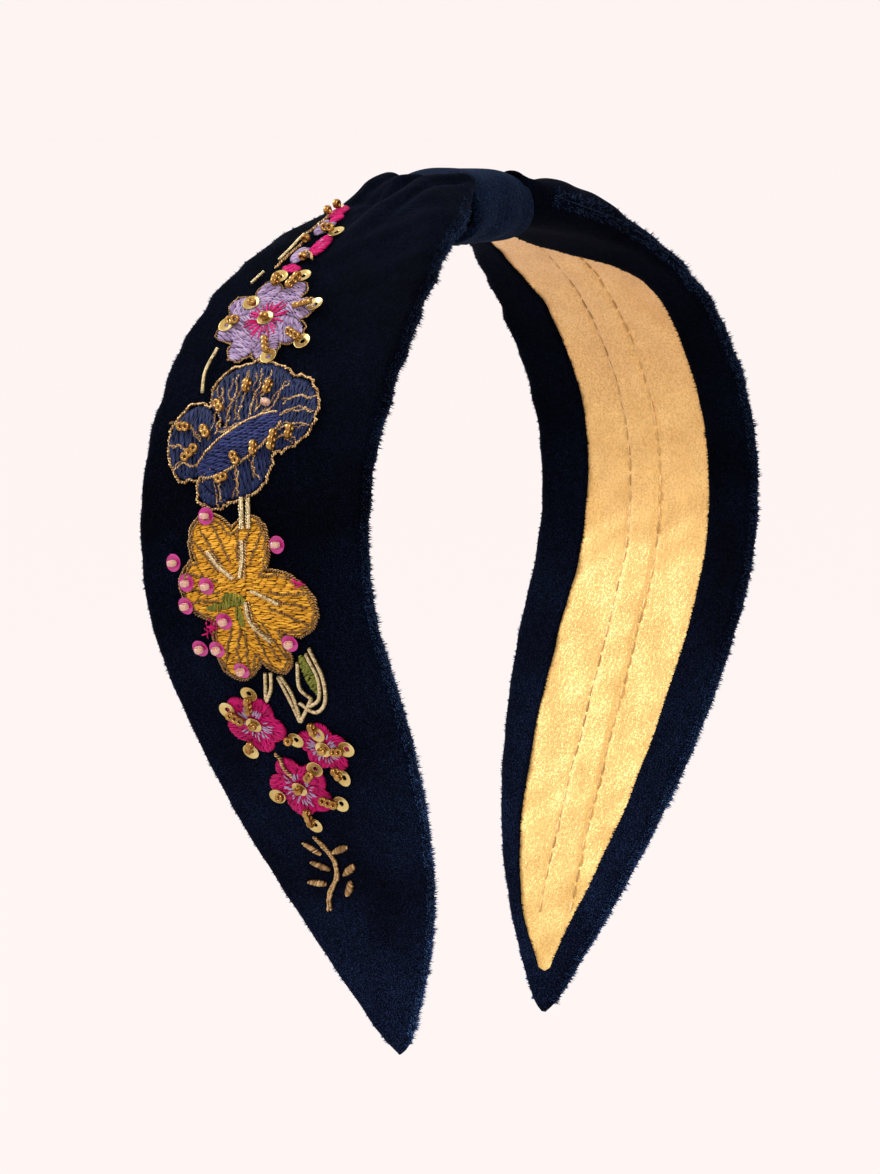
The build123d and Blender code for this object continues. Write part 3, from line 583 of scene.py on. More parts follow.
def velvet_cover(side):
    """A closed sheet of velvet: hem, folded edge, outer face, folded edge and hem."""
    s = cover_rows()
    hem = np.sin(np.linspace(0, pi / 2, 16))
    face = -np.cos(np.linspace(0, pi, 72))
    loops = []
    for inset in (0.0, VELVET):
        rows = []
        for at in s:
            width = max(float(half_width(at)) - inset, 0.02)
            front_wave = float(edge_wave(side, at, 0))
            rear_wave = float(edge_wave(side, at, 1))
            front = min(max(-float(smooth(LINING_FRONT, at)), -0.9 * width), 0.96 * width)
            rear = min(max(float(smooth(LINING_REAR, at)), -0.9 * width), 0.96 * width)
            if at > LINING_END - 1:
                front = rear = 0.01
            front_y = -(front + (width - front) * hem)
            rear_y = (rear + (width - rear) * hem)[::-1]
            outer_y = face[1:-1] * width
            y = np.concatenate([front_y, outer_y, rear_y])
            outer, inner = band_section(side, at, y, inset)
            on_top = np.zeros(len(y), bool)
            on_top[len(front_y) : len(front_y) + len(outer_y)] = True
            n = np.where(on_top, outer, inner)
            share = np.clip(np.abs(y) / max(width, 0.1), 0, 1) ** 2 * min(width / 10, 1)
            y = y + share * np.where(y < 0, -front_wave, rear_wave)
            rows.append(place(side, at, y, n))
        loops.append(np.array(rows))
    outside, inside = loops
    arm = ARM_NAME[side]
    obj = shell(f"velvet_cover_{arm}_cloth", np.concatenate([outside, inside[:, ::-1]], axis=1))
    dress(obj, NAVY_VELVET, replaces=[f"velvet_cover_{arm}", f"velvet_pleat_{arm}"])
    bend_with(obj)
    return obj


def lining_sheet(side):
    """The gold lining between the hems, raised over the hoop's channel."""
    s = np.concatenate([np.arange(COVER_START + 0.6, 60, 0.8), np.arange(60, LINING_END, 1.3), [LINING_END]])
    t = np.linspace(0, 1, 60)
    rows = {}
    for layer in (0.0, LINING_STEP):
        made = []
        for at in s:
            front, rear = float(smooth(LINING_FRONT, at)), float(smooth(LINING_REAR, at))
            y = front - LINING_TUCK + (rear - front + 2 * LINING_TUCK) * t
            _, inner = band_section(side, at, y)
            channel = 1 / (1 + np.exp((np.abs(y) - CHANNEL_HALF + 0.25) / 0.22))
            seam = np.exp(-(((np.abs(y) - CHANNEL_HALF) / 0.35) ** 2))
            strength = np.interp(at, [14, 40, 150, 180], [0.2, 1, 1, 0.1])
            broad, slanted = (0.10, 0.35 * at, 0.5 * y, side), (0.07, 0.8 * at, -0.4 * y, 1)
            soft = ripple(broad, slanted, (0.05, 0.17 * at, 0.9 * y, 2))
            n = inner + 0.34 + layer - strength * (0.32 * channel - 0.22 * seam) + soft
            made.append(place(side, at, y, n))
        rows[layer] = np.array(made)
    arm = ARM_NAME[side]
    obj = shell(f"lining_{arm}_cloth", np.concatenate([rows[0.0], rows[LINING_STEP][:, ::-1]], axis=1))
    dress(obj, LINING, replaces=[f"lining_{arm}"])
    bend_with(obj)
    return obj


def felt_layer(side):
    """The felt between velvet and lining, grooved for the hoop."""
    s = np.concatenate([np.arange(26, 180, 1.6), [183.0, 186.0]])
    t = np.linspace(-1, 1, 61)
    rows = []
    for at in s:
        y = t * max(float(half_width(at)) - 1.7, 0.4)
        outer, inner = band_section(side, at, y, 0.95)
        groove = 1 / (1 + np.exp((np.abs(y) - 2.75) / 0.08))
        top = np.maximum(outer, 0.62)
        bottom = np.minimum((inner + 0.15) * (1 - groove) + 0.52 * groove, top - 0.1)
        rows.append(np.concatenate([place(side, at, y, top), place(side, at, y, bottom)[::-1]]))
    obj = shell(f"felt_layer_{ARM_NAME[side]}", rows)
    dress(obj, FELT, replaces=[f"felt_padding_{ARM_NAME[side]}"])
    bend_with(obj)
    return obj


def channel_thread(side):
    """The two rows of running stitch beside the hoop."""
    parts = []
    for y in (-CHANNEL_HALF, CHANNEL_HALF):
        starts = np.arange(24, 172, 2.9)
        t = np.linspace(0, 1, 7)
        at = starts[:, None] + 2.3 * t[None]
        _, inner = band_section(side, at, np.full_like(at, y))
        n = inner + 0.44 - 0.16 * np.sin(pi * t)[None]
        lines = place(side, at, np.full_like(at, y), n)
        points, faces = tubes(lines, 0.17, -outward(side, at))
        parts.append((points, faces, np.repeat(rng.random(len(starts)), 7 * 6)))
    points, faces, tone = joined(parts)
    arm = ARM_NAME[side]
    obj = mesh_object(f"channel_stitches_{arm}_thread", points, faces, tone)
    dress(obj, LINING_THREAD, replaces=[f"channel_stitches_{arm}"])
    return bend_with(obj)


def hoop_half(side):
    """Half of the sprung hoop, from the knot's middle to its cap."""
    s = np.concatenate([np.arange(0, HOOP_END, 1.5), [HOOP_END]])
    corners = [(-2.5, -0.35), (-2.4, -0.45), (2.4, -0.45), (2.5, -0.35)]
    corners += [(2.5, 0.35), (2.4, 0.45), (-2.4, 0.45), (-2.5, 0.35)]
    y, n = np.array(corners).T
    rows = place(side, s[:, None], y[None], n[None])
    obj = bar(f"spring_hoop_{ARM_NAME[side]}", rows, sharp=True)
    dress(obj, STEEL, replaces=["spring_hoop"] if side == LEFT else [])
    return bend_with(obj)


def wrap_ring(x, inset):
    """The knot's section at x: a soft rounded shape, lower towards its ends."""
    angle = np.linspace(0, 2 * pi, 128, endpoint=False)
    end = (x / WRAP_HALF_LENGTH) ** 2
    across = WRAP_HALF_WIDTH - inset - 0.25 * end
    high = WRAP_HALF_HEIGHT - inset - 0.55 * end
    power = 2 / 2.7
    y = across * np.sign(np.cos(angle)) * np.abs(np.cos(angle)) ** power
    z = high * np.sign(np.sin(angle)) * np.abs(np.sin(angle)) ** power
    soft = ripple((0.12, 0.7 * x, 2 * angle, 0.4), (0.08, 0.4 * x, 5 * angle, 1.1))
    y = y * (1 + soft / WRAP_HALF_WIDTH)
    z = z * (1 + soft / WRAP_HALF_HEIGHT)
    return np.stack([np.full_like(y, x), y, z + WRAP_HEIGHT - 0.5 * end], -1)


def knot_sleeve():
    """The velvet sleeve of the knot, its long edges turned under in a roll."""
    edge = 0.75
    length = WRAP_HALF_LENGTH - edge
    roll = np.linspace(0, pi, 9)
    path = [(x, 0.0) for x in np.linspace(-length, length, 40)]
    path += [(length + edge * sin(a), edge * (1 - cos(a))) for a in roll[1:]]
    path += [(x, 2 * edge) for x in np.linspace(length, -length, 24)[1:]]
    path += [(-length - edge * sin(a), edge * (1 + cos(a))) for a in roll[1:-1]]
    block = np.array([wrap_ring(x, inset) for x, inset in path])
    faces = grid_faces(len(path), block.shape[1], closed_rows=True, closed_columns=True)
    obj = finish_mesh(mesh_object("knot_sleeve", block.reshape(-1, 3), faces))
    dress(obj, WRAP_VELVET, "knot", replaces=["knot_wrap"])
    return obj


def knot_core():
    """The gathered velvet inside the sleeve, in folds that run along it."""
    angle = np.linspace(0, 2 * pi, 144, endpoint=False)
    rows = []
    for at in np.linspace(-CORE_HALF_LENGTH, CORE_HALF_LENGTH, 25):
        fold = 1 + 0.07 * np.sin(11 * angle + 0.12 * at) + 0.03 * np.sin(23 * angle - 0.2 * at)
        pinch = 1 - 0.05 * cos(pi * at / 2.4)
        y = CORE_HALF_WIDTH * fold * pinch * np.cos(angle)
        z = CORE_HEIGHT + CORE_HALF_HEIGHT * fold * np.sin(angle)
        rows.append(np.stack([np.full_like(angle, at), y, z], -1))
    obj = bar("knot_core", rows)
    return dress(obj, NAVY_VELVET, "knot", replaces=["gathered_core"])


# ---------------------------------------------------------------------------
# Pile: short tufts that stand out along the folded edges
# ---------------------------------------------------------------------------


def blades(roots, along, lengths, width):
    """Thin three-sided spikes from roots, as points and faces."""
    along = along / np.linalg.norm(along, axis=1, keepdims=True)
    helper = np.tile([[0.37, 0.61, 0.70]], (len(roots), 1))
    a = np.cross(along, helper)
    a /= np.linalg.norm(a, axis=1, keepdims=True)
    b = np.cross(along, a)
    corners = [roots + width * (cos(t) * a + sin(t) * b) for t in (0, 2 * pi / 3, 4 * pi / 3)]
    tips = roots + along * lengths[:, None]
    points = np.stack([*corners, tips], 1).reshape(-1, 3)
    one = np.array([[0, 1, 3], [1, 2, 3], [2, 0, 3], [2, 1, 0]])
    faces = (one[None] + 4 * np.arange(len(roots))[:, None, None]).reshape(-1, 3)
    return points, faces.tolist()


def tufts(name, side, roots, along, lengths, material):
    """One piece of pile on an arm."""
    points, faces = blades(np.array(roots), np.array(along), np.array(lengths), TUFT_RADIUS)
    obj = mesh_object(f"{name}_{ARM_NAME[side]}", points, faces)
    dress(obj, material)
    return bend_with(obj)


def edge_pile(side):
    """Clumps of pile along both folded edges of an arm, in a lighter copy of the velvet as painted light on
    the rim.
    """
    roots, along, lengths = [], [], []
    for rear in (0, 1):
        sign = 1 if rear else -1
        clumps = np.arange(14, ARCH_END - 1, 0.36)
        for at in clumps + rng.normal(0, 0.12, len(clumps)):
            strong = 1.0 if rear == 0 else 0.55
            tall = strong * (0.4 + 0.75 * rng.random() ** 2)
            lean = rng.normal(0, 0.35)
            for _ in range(13):
                turn = rng.uniform(-0.9, 0.9)
                s = at + rng.normal(0, 0.13)
                width = float(half_width(s))
                wave = float(edge_wave(side, s, rear)) * min(width / 10, 1)
                roll = min(HALF_THICKNESS, width)
                y = sign * (width - roll + roll * cos(turn))
                outer, inner = band_section(side, s, y, 0.06)
                n = float(outer if turn > 0 else inner)
                roots.append(place(side, s, y + sign * (wave * (y / width) ** 2 - 0.05), n))
                out = outward(side, np.array(s))
                down = place(side, s + 0.5, 0, 0) - place(side, s, 0, 0)
                along.append(cos(turn) * np.array([0, sign, 0]) + sin(turn) * out + (lean + 0.25) * down)
                lengths.append(tall * rng.uniform(0.6, 1.1))
    return tufts("velvet_pile_painted_lit", side, roots, along, lengths, PAINTED_LIT_PILE)


def hem_pile(side):
    """Pile that hangs over the lining along the cut of both hems."""
    roots, along, lengths = [], [], []
    for table, sign in ((LINING_FRONT, 1), (LINING_REAR, -1)):
        at = np.arange(27, LINING_END - 2, 0.2)
        at = at + rng.normal(0, 0.08, len(at))
        for s in at:
            y = float(smooth(table, s)) - sign * 0.12
            _, inner = band_section(side, s, y)
            reach = 0.25 + 0.55 * rng.random() ** 2
            for _ in range(3):
                roots.append(place(side, s + rng.normal(0, 0.08), y, float(inner) + rng.uniform(0, 0.25)))
                forward = place(side, s + 0.5, y, 0) - place(side, s, y, 0)
                down = -outward(side, np.array(s))
                lean = rng.normal(0.2, 0.5) * forward
                along.append(np.array([0, sign, 0]) + lean + rng.uniform(-0.1, 0.35) * down)
                lengths.append(reach * rng.uniform(0.6, 1.1))
    return tufts("hem_pile", side, roots, along, lengths, NAVY_VELVET)


# ---------------------------------------------------------------------------
# Embroidery, on the left arm.  Places in it are (y, s).
# ---------------------------------------------------------------------------


class Oval:
    """An oval patch: centre y and s, half sizes and the turn of its long side."""

    def __init__(self, y, s, half_y, half_s, turn=0.0):
        self.centre = np.array([y, s])
        self.half = np.array([half_y, half_s])
        self.turn = radians(turn)

    def inside(self, q, grow=0.0):
        d = np.asarray(q) - self.centre
        c, k = cos(self.turn), sin(self.turn)
        u = (d[..., 0] * c + d[..., 1] * k) / (self.half[0] + grow)
        v = (-d[..., 0] * k + d[..., 1] * c) / (self.half[1] + grow)
        return u**2 + v**2 < 1

    def rim(self, grow):
        t = np.linspace(0, 2 * pi, 160)
        u, v = (self.half[0] + grow) * np.cos(t), (self.half[1] + grow) * np.sin(t)
        c, k = cos(self.turn), sin(self.turn)
        return self.centre + np.stack([u * c - v * k, u * k + v * c], -1)


def petal(centre, angle, length, width):
    """A petal that reaches out from a flower's centre (s, y)."""
    reach = length / 2 + 0.3
    y = centre[1] + reach * cos(radians(angle))
    s = centre[0] + reach * sin(radians(angle))
    return Oval(y, s, length / 2 - 0.3, width / 2, angle)


def satin_rows(shape, others, direction, spacing=0.27, stitch=2.6, grow=0.0, spread=0.05):
    """Stitches that fill a shape in rows, leaving out what earlier shapes cover."""
    d = np.array([cos(radians(direction)), sin(radians(direction))])
    e = np.array([-d[1], d[0]])
    reach = max(shape.half) + 1
    made = []
    for row, off in enumerate(np.arange(-reach, reach, spacing)):
        t = np.arange(-reach, reach, 0.08)
        q = shape.centre + off * e + t[:, None] * d
        keep = shape.inside(q, grow)
        for other in others:
            keep &= ~other.inside(q)
        edges = np.flatnonzero(np.diff(np.concatenate([[0], keep.astype(int), [0]])))
        for a, b in zip(edges[::2], edges[1::2]):
            if b - a < 4:
                continue
            first, last = t[a], t[b - 1]
            phase = (row % 3) / 3 * stitch + rng.uniform(0, 0.25 * stitch)
            cuts = np.arange(first - stitch + phase, last, stitch)
            cuts = [first, *[c for c in cuts if first + 0.6 < c < last - 0.6], last]
            for c0, c1 in zip(cuts, cuts[1:]):
                wobble = rng.normal(0, spread, 2)
                start = shape.centre + (off + wobble[0]) * e + (c0 - 0.1) * d
                end = shape.centre + (off + wobble[1]) * e + (c1 + 0.1) * d
                made.append((start, end))
    return made


def thread_part(stitches, base, rise=0.26, radius=0.18, flat=0.85, tone=(0.25, 1.0)):
    """Tubes for straight stitches on the arm, each rising in its middle and painted darker at its ends as
    shade.
    """
    ends = np.array(stitches)
    t = np.linspace(0, 1, 6)
    q = ends[:, None, 0] + (ends[:, 1] - ends[:, 0])[:, None] * t[None, :, None]
    n = base + rise * np.sqrt(np.clip(4 * t * (1 - t), 0, 1))[None] + rng.normal(0, 0.025, (len(ends), 1))
    n = n + rise_at(q[..., 1], q[..., 0])
    lines = place(LEFT, q[..., 1], q[..., 0], n)
    points, faces = tubes(lines, radius, outward(LEFT, q[..., 1]), flat=flat)
    tones = rng.uniform(*tone, len(ends))
    # Painted shade: each stitch's tone falls to 0.55 at its two ends, where it sinks into the cloth.
    shade = np.array([0.55, 0.9, 1, 1, 0.9, 0.55])
    return points, faces, (tones[:, None, None] * shade[None, :, None] * np.ones(6)).ravel()


def route(points, step=0.14):
    """A smooth line through a few (y, s) points, in even steps."""
    p = np.asarray(points, float)
    if len(p) > 2:
        wide = np.concatenate([[2 * p[0] - p[1]], p, [2 * p[-1] - p[-2]]])
        t = np.linspace(0, 1, 12, endpoint=False)[:, None]
        runs = []
        for a, b, c, d in zip(wide, wide[1:], wide[2:], wide[3:]):
            square, cube = (2 * a - 5 * b + 4 * c - d) * t**2, (3 * b - a - 3 * c + d) * t**3
            runs.append(0.5 * (2 * b + (c - a) * t + square + cube))
        p = np.concatenate([*runs, p[-1:]])
    lengths = np.concatenate([[0], np.cumsum(np.linalg.norm(np.diff(p, axis=0), axis=1))])
    at = np.linspace(0, lengths[-1], max(4, int(lengths[-1] / step)))
    return np.stack([np.interp(at, lengths, p[:, k]) for k in (0, 1)], -1)


def twist_parts(q, n, strands=2, turn=1.05, coil=0.17, radius=0.145, stray=0.07, shade=1.0):
    """A cord of twisted strands along a line of (y, s) points, or a coiled wire with one strand."""
    q = np.asarray(q, float)
    if len(q) < 4:
        return []
    sway = np.convolve(rng.normal(0, 1, (len(q) + 8)), np.ones(7) / 7, "same")[4:-4]
    drift = np.convolve(rng.normal(0, 1, (len(q) + 8)), np.ones(7) / 7, "same")[4:-4]
    q = q + 2.4 * stray * np.stack([sway, drift], -1)
    centre = place(LEFT, q[:, 1], q[:, 0], n + rise_at(q[:, 1], q[:, 0]))
    along = np.gradient(centre, axis=0)
    gone = np.concatenate([[0], np.cumsum(np.linalg.norm(np.diff(centre, axis=0), axis=1))])
    along /= np.maximum(np.linalg.norm(along, axis=1, keepdims=True), 1e-9)
    up = outward(LEFT, q[:, 1])
    across = np.cross(along, up)
    across /= np.maximum(np.linalg.norm(across, axis=1, keepdims=True), 1e-9)
    parts = []
    start = rng.uniform(0, 2 * pi)
    for k in range(strands):
        angle = start + gone / turn * 2 * pi + k * 2 * pi / strands
        line = centre + coil * (np.cos(angle)[:, None] * across + np.sin(angle)[:, None] * up)
        points, faces = tubes(line[None], radius, np.broadcast_to(up, line.shape)[None], sides=5, ends=0.8)
        glint = 0.5 + 0.5 * np.sin(angle + 0.8) * rng.uniform(0.7, 1)
        tone = np.clip(glint + rng.normal(0, 0.3, len(q)), 0, 1) * shade
        parts.append((points, faces, np.repeat(tone, 5)))
    return parts


def cords(lines, n, bend=0.0, **look):
    """Twisted cords along several lines, each line bent a little at random."""
    parts = []
    for line in lines:
        points = np.asarray(line, float)
        if bend:
            points = points + rng.normal(0, bend, points.shape)
        parts += twist_parts(route(points), n, **look)
    return parts


def coils(lines, n, radius=0.36):
    """Cut purl: a tight coil of wire laid along each line."""
    parts = []
    for line in lines:
        q = route(line, 0.028)
        parts += twist_parts(q, n, strands=1, turn=0.23, coil=radius - PURL_WIRE, radius=PURL_WIRE, stray=0.0)
    return parts


def outline_runs(shapes, grow):
    """The outer line round overlapping shapes, as separate runs."""
    runs = []
    for i, shape in enumerate(shapes):
        rim = shape.rim(grow)
        keep = np.ones(len(rim), bool)
        for j, other in enumerate(shapes):
            if i != j:
                keep &= ~other.inside(rim, grow - 0.1)
        if keep.all():
            runs.append(rim)
            continue
        first = int(np.flatnonzero(~keep)[0])
        rim, keep = np.roll(rim[:-1], -first, axis=0), np.roll(keep[:-1], -first)
        edges = np.flatnonzero(np.diff(np.concatenate([[0], keep.astype(int), [0]])))
        runs += [rim[a:b] for a, b in zip(edges[::2], edges[1::2]) if b - a > 5]
    return runs


def embroidered(name, parts, material, replaces=(), closed=False):
    """One piece of needlework on the left arm, its faces turned outwards if they are closed."""
    points, faces, tone = joined(parts)
    obj = mesh_object(name, points, faces, tone)
    if closed:
        finish_mesh(obj)
    return dress(obj, material, "left_arm", replaces)


def radial_stitches(centre, count, inner, outer, spread):
    """Loose straight stitches that radiate from a flower's centre (y, s)."""
    made = []
    for i in range(count):
        angle = 2 * pi * i / count + rng.normal(0, spread * pi / count)
        d = np.array([cos(angle), sin(angle)])
        a, b = inner + rng.uniform(-0.3, 0.3), outer * rng.uniform(0.7, 1.1)
        made.append((centre + a * d, centre + b * d))
    return made


def lilac_flower():
    """Eight lilac petals with dark gaps, a gold outline and magenta rays."""
    centre = (52.0, 6.3)
    petals = [petal(centre, 22.5 + 45 * i, 8.9, 5.1) for i in range(8)]
    middle = Oval(centre[1], centre[0], 3.4, 3.4)
    satin = []
    for i, shape in enumerate(petals):
        across = 22.5 + 45 * i + 90
        lean = across if sin(radians(across)) ** 2 < 0.3 else across + 35
        satin += satin_rows(shape, petals[:i], lean, spacing=0.30, stitch=2.3)
    satin += satin_rows(middle, petals, 10, stitch=2.0)
    embroidered("lilac_satin", [thread_part(satin, SATIN)], LILAC, ["lilac_flower"])
    runs = outline_runs(petals + [middle], 0.2)
    gold = cords(runs, SATIN + 0.05, coil=0.12, radius=0.1, stray=0.16, shade=0.7)
    for i in range(8):
        direction = [cos(radians(45 * i)), sin(radians(45 * i))]
        ray = middle.centre + np.outer((3.6, 4.6, 5.8), direction)
        gold += cords([ray], SATIN + 0.2, 0.15, coil=0.09, radius=0.08, stray=0.12, shade=0.5)
    embroidered("lilac_gold_edging", gold, GOLD_THREAD, ["lilac_flower_edging"])
    rays = radial_stitches(middle.centre, 34, 1.4, 4.1, 0.7)
    part = thread_part(rays, SATIN + 0.28, 0.2, 0.15)
    embroidered("lilac_heart_rays", [part], PINK, ["lilac_flower_heart"])


def navy_flower():
    """The navy flower: upright stitches, a diagonal fold and many gold veins."""
    table = [
        (2.8, 66.7, 8.0, 6.0),
        (-4.8, 69.6, 5.6, 6.2),
        (12.4, 75.0, 4.6, 6.2),
        (3.4, 77.6, 7.2, 6.4),
        (6.6, 82.4, 3.2, 2.8),
    ]
    ovals = [Oval(*row) for row in table]
    fold = Oval(3.2, 75.2, 8.4, 2.5, 35.0)
    satin = []
    for i, (shape, direction) in enumerate(zip(ovals, (93, 82, 88, 100, 80))):
        satin += satin_rows(shape, ovals[:i] + [fold], direction, stitch=3.0)
    embroidered("navy_satin", [thread_part(satin, SATIN)], NAVY, ["navy_flower"])
    waves = satin_rows(fold, [], 12, spacing=0.29, stitch=2.2, grow=0.3)
    part = thread_part(waves, SATIN + 0.22, 0.3, 0.2)
    embroidered("navy_fold_satin", [part], BLUE, ["navy_flower_fold"])
    runs = outline_runs(ovals, 0.28)
    gold = cords(runs, SATIN + 0.15, turn=1.25, coil=0.17, radius=0.135, stray=0.2, shade=0.95)
    gold += cords((fold.rim(0.45)[8:72], fold.rim(0.45)[88:150]), SATIN + 0.45)
    veins = [
        [(-3.6, 64.2), (-2.4, 67.0), (-1.0, 69.6)],
        [(0.6, 62.4), (0.9, 65.2), (1.2, 69.4)],
        [(2.6, 61.9), (2.5, 65.8), (2.2, 70.6)],
        [(5.0, 62.3), (4.6, 66.2), (4.4, 71.0)],
        [(7.2, 63.3), (6.4, 67.0), (6.4, 72.2)],
        [(9.2, 65.4), (8.4, 69.0), (8.2, 74.0)],
        [(-9.6, 66.6), (-6.8, 66.4), (-3.4, 68.2)],
        [(-10.2, 69.2), (-6.8, 68.8), (-3.0, 70.4)],
        [(-9.8, 71.8), (-6.6, 71.4), (-3.4, 72.4)],
        [(-8.2, 74.4), (-6.2, 73.6), (-4.4, 73.8)],
        [(16.6, 72.2), (13.6, 72.6), (11.0, 74.4)],
        [(16.9, 76.0), (14.0, 75.9), (11.2, 77.2)],
        [(15.2, 79.6), (13.0, 78.4), (10.6, 79.0)],
        [(-2.2, 80.4), (-0.6, 78.4), (0.4, 75.9)],
        [(1.6, 83.6), (2.0, 80.6), (2.6, 78.0)],
        [(4.8, 84.6), (5.6, 82.0), (5.2, 79.6)],
        [(9.6, 81.6), (8.4, 80.2), (7.6, 78.9)],
        [(-1.2, 69.4), (2.4, 71.4), (6.8, 73.2)],
    ]
    for vein in veins:
        bent = np.array(vein) + rng.normal(0, 0.12, (3, 2))
        gold += twist_parts(route(bent), SATIN + 0.3, coil=0.12, radius=0.1, stray=0.25, shade=0.95)
        beside = bent + [0.6, 0.1] + rng.normal(0, 0.25, (3, 2))
        gold += twist_parts(route(beside), SATIN + 0.3, coil=0.1, radius=0.085, stray=0.25, shade=0.7)
    embroidered("navy_gold_veins", gold, GOLD_THREAD, ["navy_flower_edging"])


def yellow_flower():
    """Six yellow petals with brown gaps, doubled outlines, green heart and cut purl rays."""
    centre = (98.8, 1.5)
    table = [(-55, 14, 9.4), (-104, 12.4, 8.2), (169, 14.4, 10)]
    table += [(110, 14.2, 7.6), (70, 16.2, 8.6), (-4, 12, 10)]
    petals = [petal(centre, *row) for row in table]
    middle = Oval(centre[1], centre[0], 5.0, 5.0)
    satin = []
    for i, (shape, direction) in enumerate(zip(petals, (12, 8, 4, -14, 10, 16))):
        satin += satin_rows(shape, petals[:i], direction, spacing=0.30, stitch=2.1, spread=0.07)
    satin += satin_rows(middle, petals, 8, spacing=0.30, stitch=2.1)
    embroidered("yellow_satin", [thread_part(satin, SATIN)], YELLOW, ["yellow_flower"])
    # The gold lines round, inside and along the petals are darkened to 0.4 to 0.6: partly the copper thread's
    # own colour, partly painted shade in the gaps between the petals.
    gold = cords(outline_runs(petals + [middle], 0.28), SATIN + 0.15, coil=0.22, stray=0.1, shade=0.6)
    gold += cords(outline_runs(petals + [middle], -0.45), SATIN + 0.34, radius=0.12, stray=0.14, shade=0.5)
    for angle, length, width in table:
        d = np.array([cos(radians(angle)), sin(radians(angle))])
        e = np.array([-d[1], d[0]])
        for side in (-0.22, 0.05, 0.27):
            line = [middle.centre + r * length * d + side * width * e * (r + 0.2) for r in (0.38, 0.62, 0.88)]
            gold += cords([line], SATIN + 0.32, 0.15, radius=0.13, stray=0.12, shade=0.4)
    embroidered("yellow_gold_edging", gold, GOLD_THREAD, ["yellow_flower_edging"])
    green = []
    for patch in ((3.4, 99.8, 2.2, 1.2, 0), (6.4, 101.0, 2.6, 0.7, 12), (2.6, 102.6, 0.7, 1.8, 0)):
        green += satin_rows(Oval(*patch), [], 70, spacing=0.24, stitch=1.2, spread=0.12)
    part = thread_part(green, SATIN + 0.3, 0.25, 0.13)
    embroidered("yellow_green_heart", [part], GREEN, ["yellow_flower_heart"])
    rays = [
        [(1.4, 96.2), (0.6, 93.0), (0.6, 90.2)],
        [(2.8, 96.4), (5.4, 94.6), (7.6, 92.2)],
        [(-0.6, 98.2), (-3.0, 99.0), (-5.6, 100.2)],
        [(0.8, 100.0), (0.5, 103.6), (-2.6, 106.6)],
    ]
    purl, thread = [], []
    for ray in rays:
        purl += coils([ray], SATIN + 0.62)
        thread += cords([np.array(ray) + [shift, 0.1] for shift in (-0.55, 0.5)], SATIN + 0.4, radius=0.12)
    embroidered("yellow_purl_rays", purl, PURL, ["yellow_flower_purl"])
    embroidered("yellow_purl_couching", thread, GOLD_THREAD)
    loose = []
    for y, s in ((8.6, 104.3), (9.6, 104.9), (-10.1, 96.7)):
        loose += [([y, s] + rng.normal(0, 0.5, 2), [y, s] + rng.normal(0, 0.8, 2)) for _ in range(9)]
    part = thread_part(loose, SATIN + 0.35, 0.3, 0.13)
    embroidered("loose_crimson_stitches", [part], PINK)


def pink_flowers():
    """Three small crimson flowers with lilac rays."""
    flowers = [("upper", (123.5, 6.9), 5.9, 20), ("side", (127.8, -5.5), 5.0, 50)]
    flowers += [("lower", (136.5, 2.3), 6.2, 0)]
    rays = []
    for name, centre, radius, phase in flowers:
        petals = [petal(centre, phase + 72 * i, radius, 0.88 * radius) for i in range(5)]
        middle = Oval(centre[1], centre[0], radius / 2, radius / 2)
        satin = []
        for i, shape in enumerate(petals):
            lean = phase + 72 * i + rng.uniform(-15, 15)
            satin += satin_rows(shape, petals[:i], lean, spacing=0.26, stitch=2.4)
        satin += satin_rows(middle, petals, 80)
        part = thread_part(satin, SATIN)
        embroidered(f"pink_satin_{name}", [part], PINK, [f"pink_flower_{name}"])
        for i in range(5):
            angle = radians(phase + 72 * i)
            for _ in range(9):
                turn = angle + rng.normal(0, 0.3)
                d = np.array([cos(turn), sin(turn)])
                a = rng.uniform(1.2, radius * 0.42)
                b = a + rng.uniform(0.7, 1.5)
                rays.append((middle.centre + a * d, middle.centre + b * d))
    part = thread_part(rays, SATIN + 0.28, 0.18, 0.13, tone=(0.7, 1.0))
    embroidered("pink_flower_rays", [part], LILAC, ["pink_flower_hearts"])


def bud_spray():
    """The slim spray of buds above the lilac flower, with gold thread down its side."""
    pink = [Oval(9.0, 21.6, 1.5, 2.6), Oval(7.6, 24.4, 1.0, 1.8)]
    pink += [Oval(5.2, 33.6, 1.5, 3.2), Oval(7.2, 40.4, 1.9, 1.0)]
    lilac = [Oval(7.9, 27.6, 1.5, 2.8), Oval(7.4, 36.6, 1.7, 2.2)]
    pink_rows, lilac_rows = [], []
    for shape in pink:
        pink_rows += satin_rows(shape, [], 20, spacing=0.28, stitch=2.2)
    for shape in lilac:
        lilac_rows += satin_rows(shape, pink, 35, spacing=0.28, stitch=2.0)
    lilac_rows += satin_rows(Oval(5.2, 33.4, 0.8, 1.6), [], 60, spacing=0.4, stitch=1.2)[::2]
    embroidered("bud_satin_pink", [thread_part(pink_rows, SATIN)], PINK, ["bud_spray_pink"])
    embroidered("bud_satin_lilac", [thread_part(lilac_rows, SATIN)], LILAC, ["bud_spray_lilac"])
    purl = coils([[(10.2, 30.5), (10.5, 34.5), (11.0, 38.0)], [(12.4, 41.0), (13.4, 44.0)]], SATIN + 0.2, 0.3)
    purl += coils([[(13.4, 58.0), (14.0, 62.6), (13.2, 66.4)]], SATIN + 0.2, 0.34)
    purl += coils([[(9.6, 20.0), (9.9, 18.8)]], SATIN + 0.3, 0.34)
    embroidered("stem_coils", purl, PURL, ["stem_wires"])
    lines = [[(9.7, 22.0), (9.6, 26.0), (9.8, 30.4)], [(9.0, 33.0), (9.6, 36.0), (10.4, 40.2)]]
    gold = cords(lines, SATIN + 0.2) + cords([[(4.2, 38.0), (5.6, 36.4), (7.2, 35.6)]], SATIN + 0.3)
    embroidered("bud_gold_thread", gold, GOLD_THREAD)


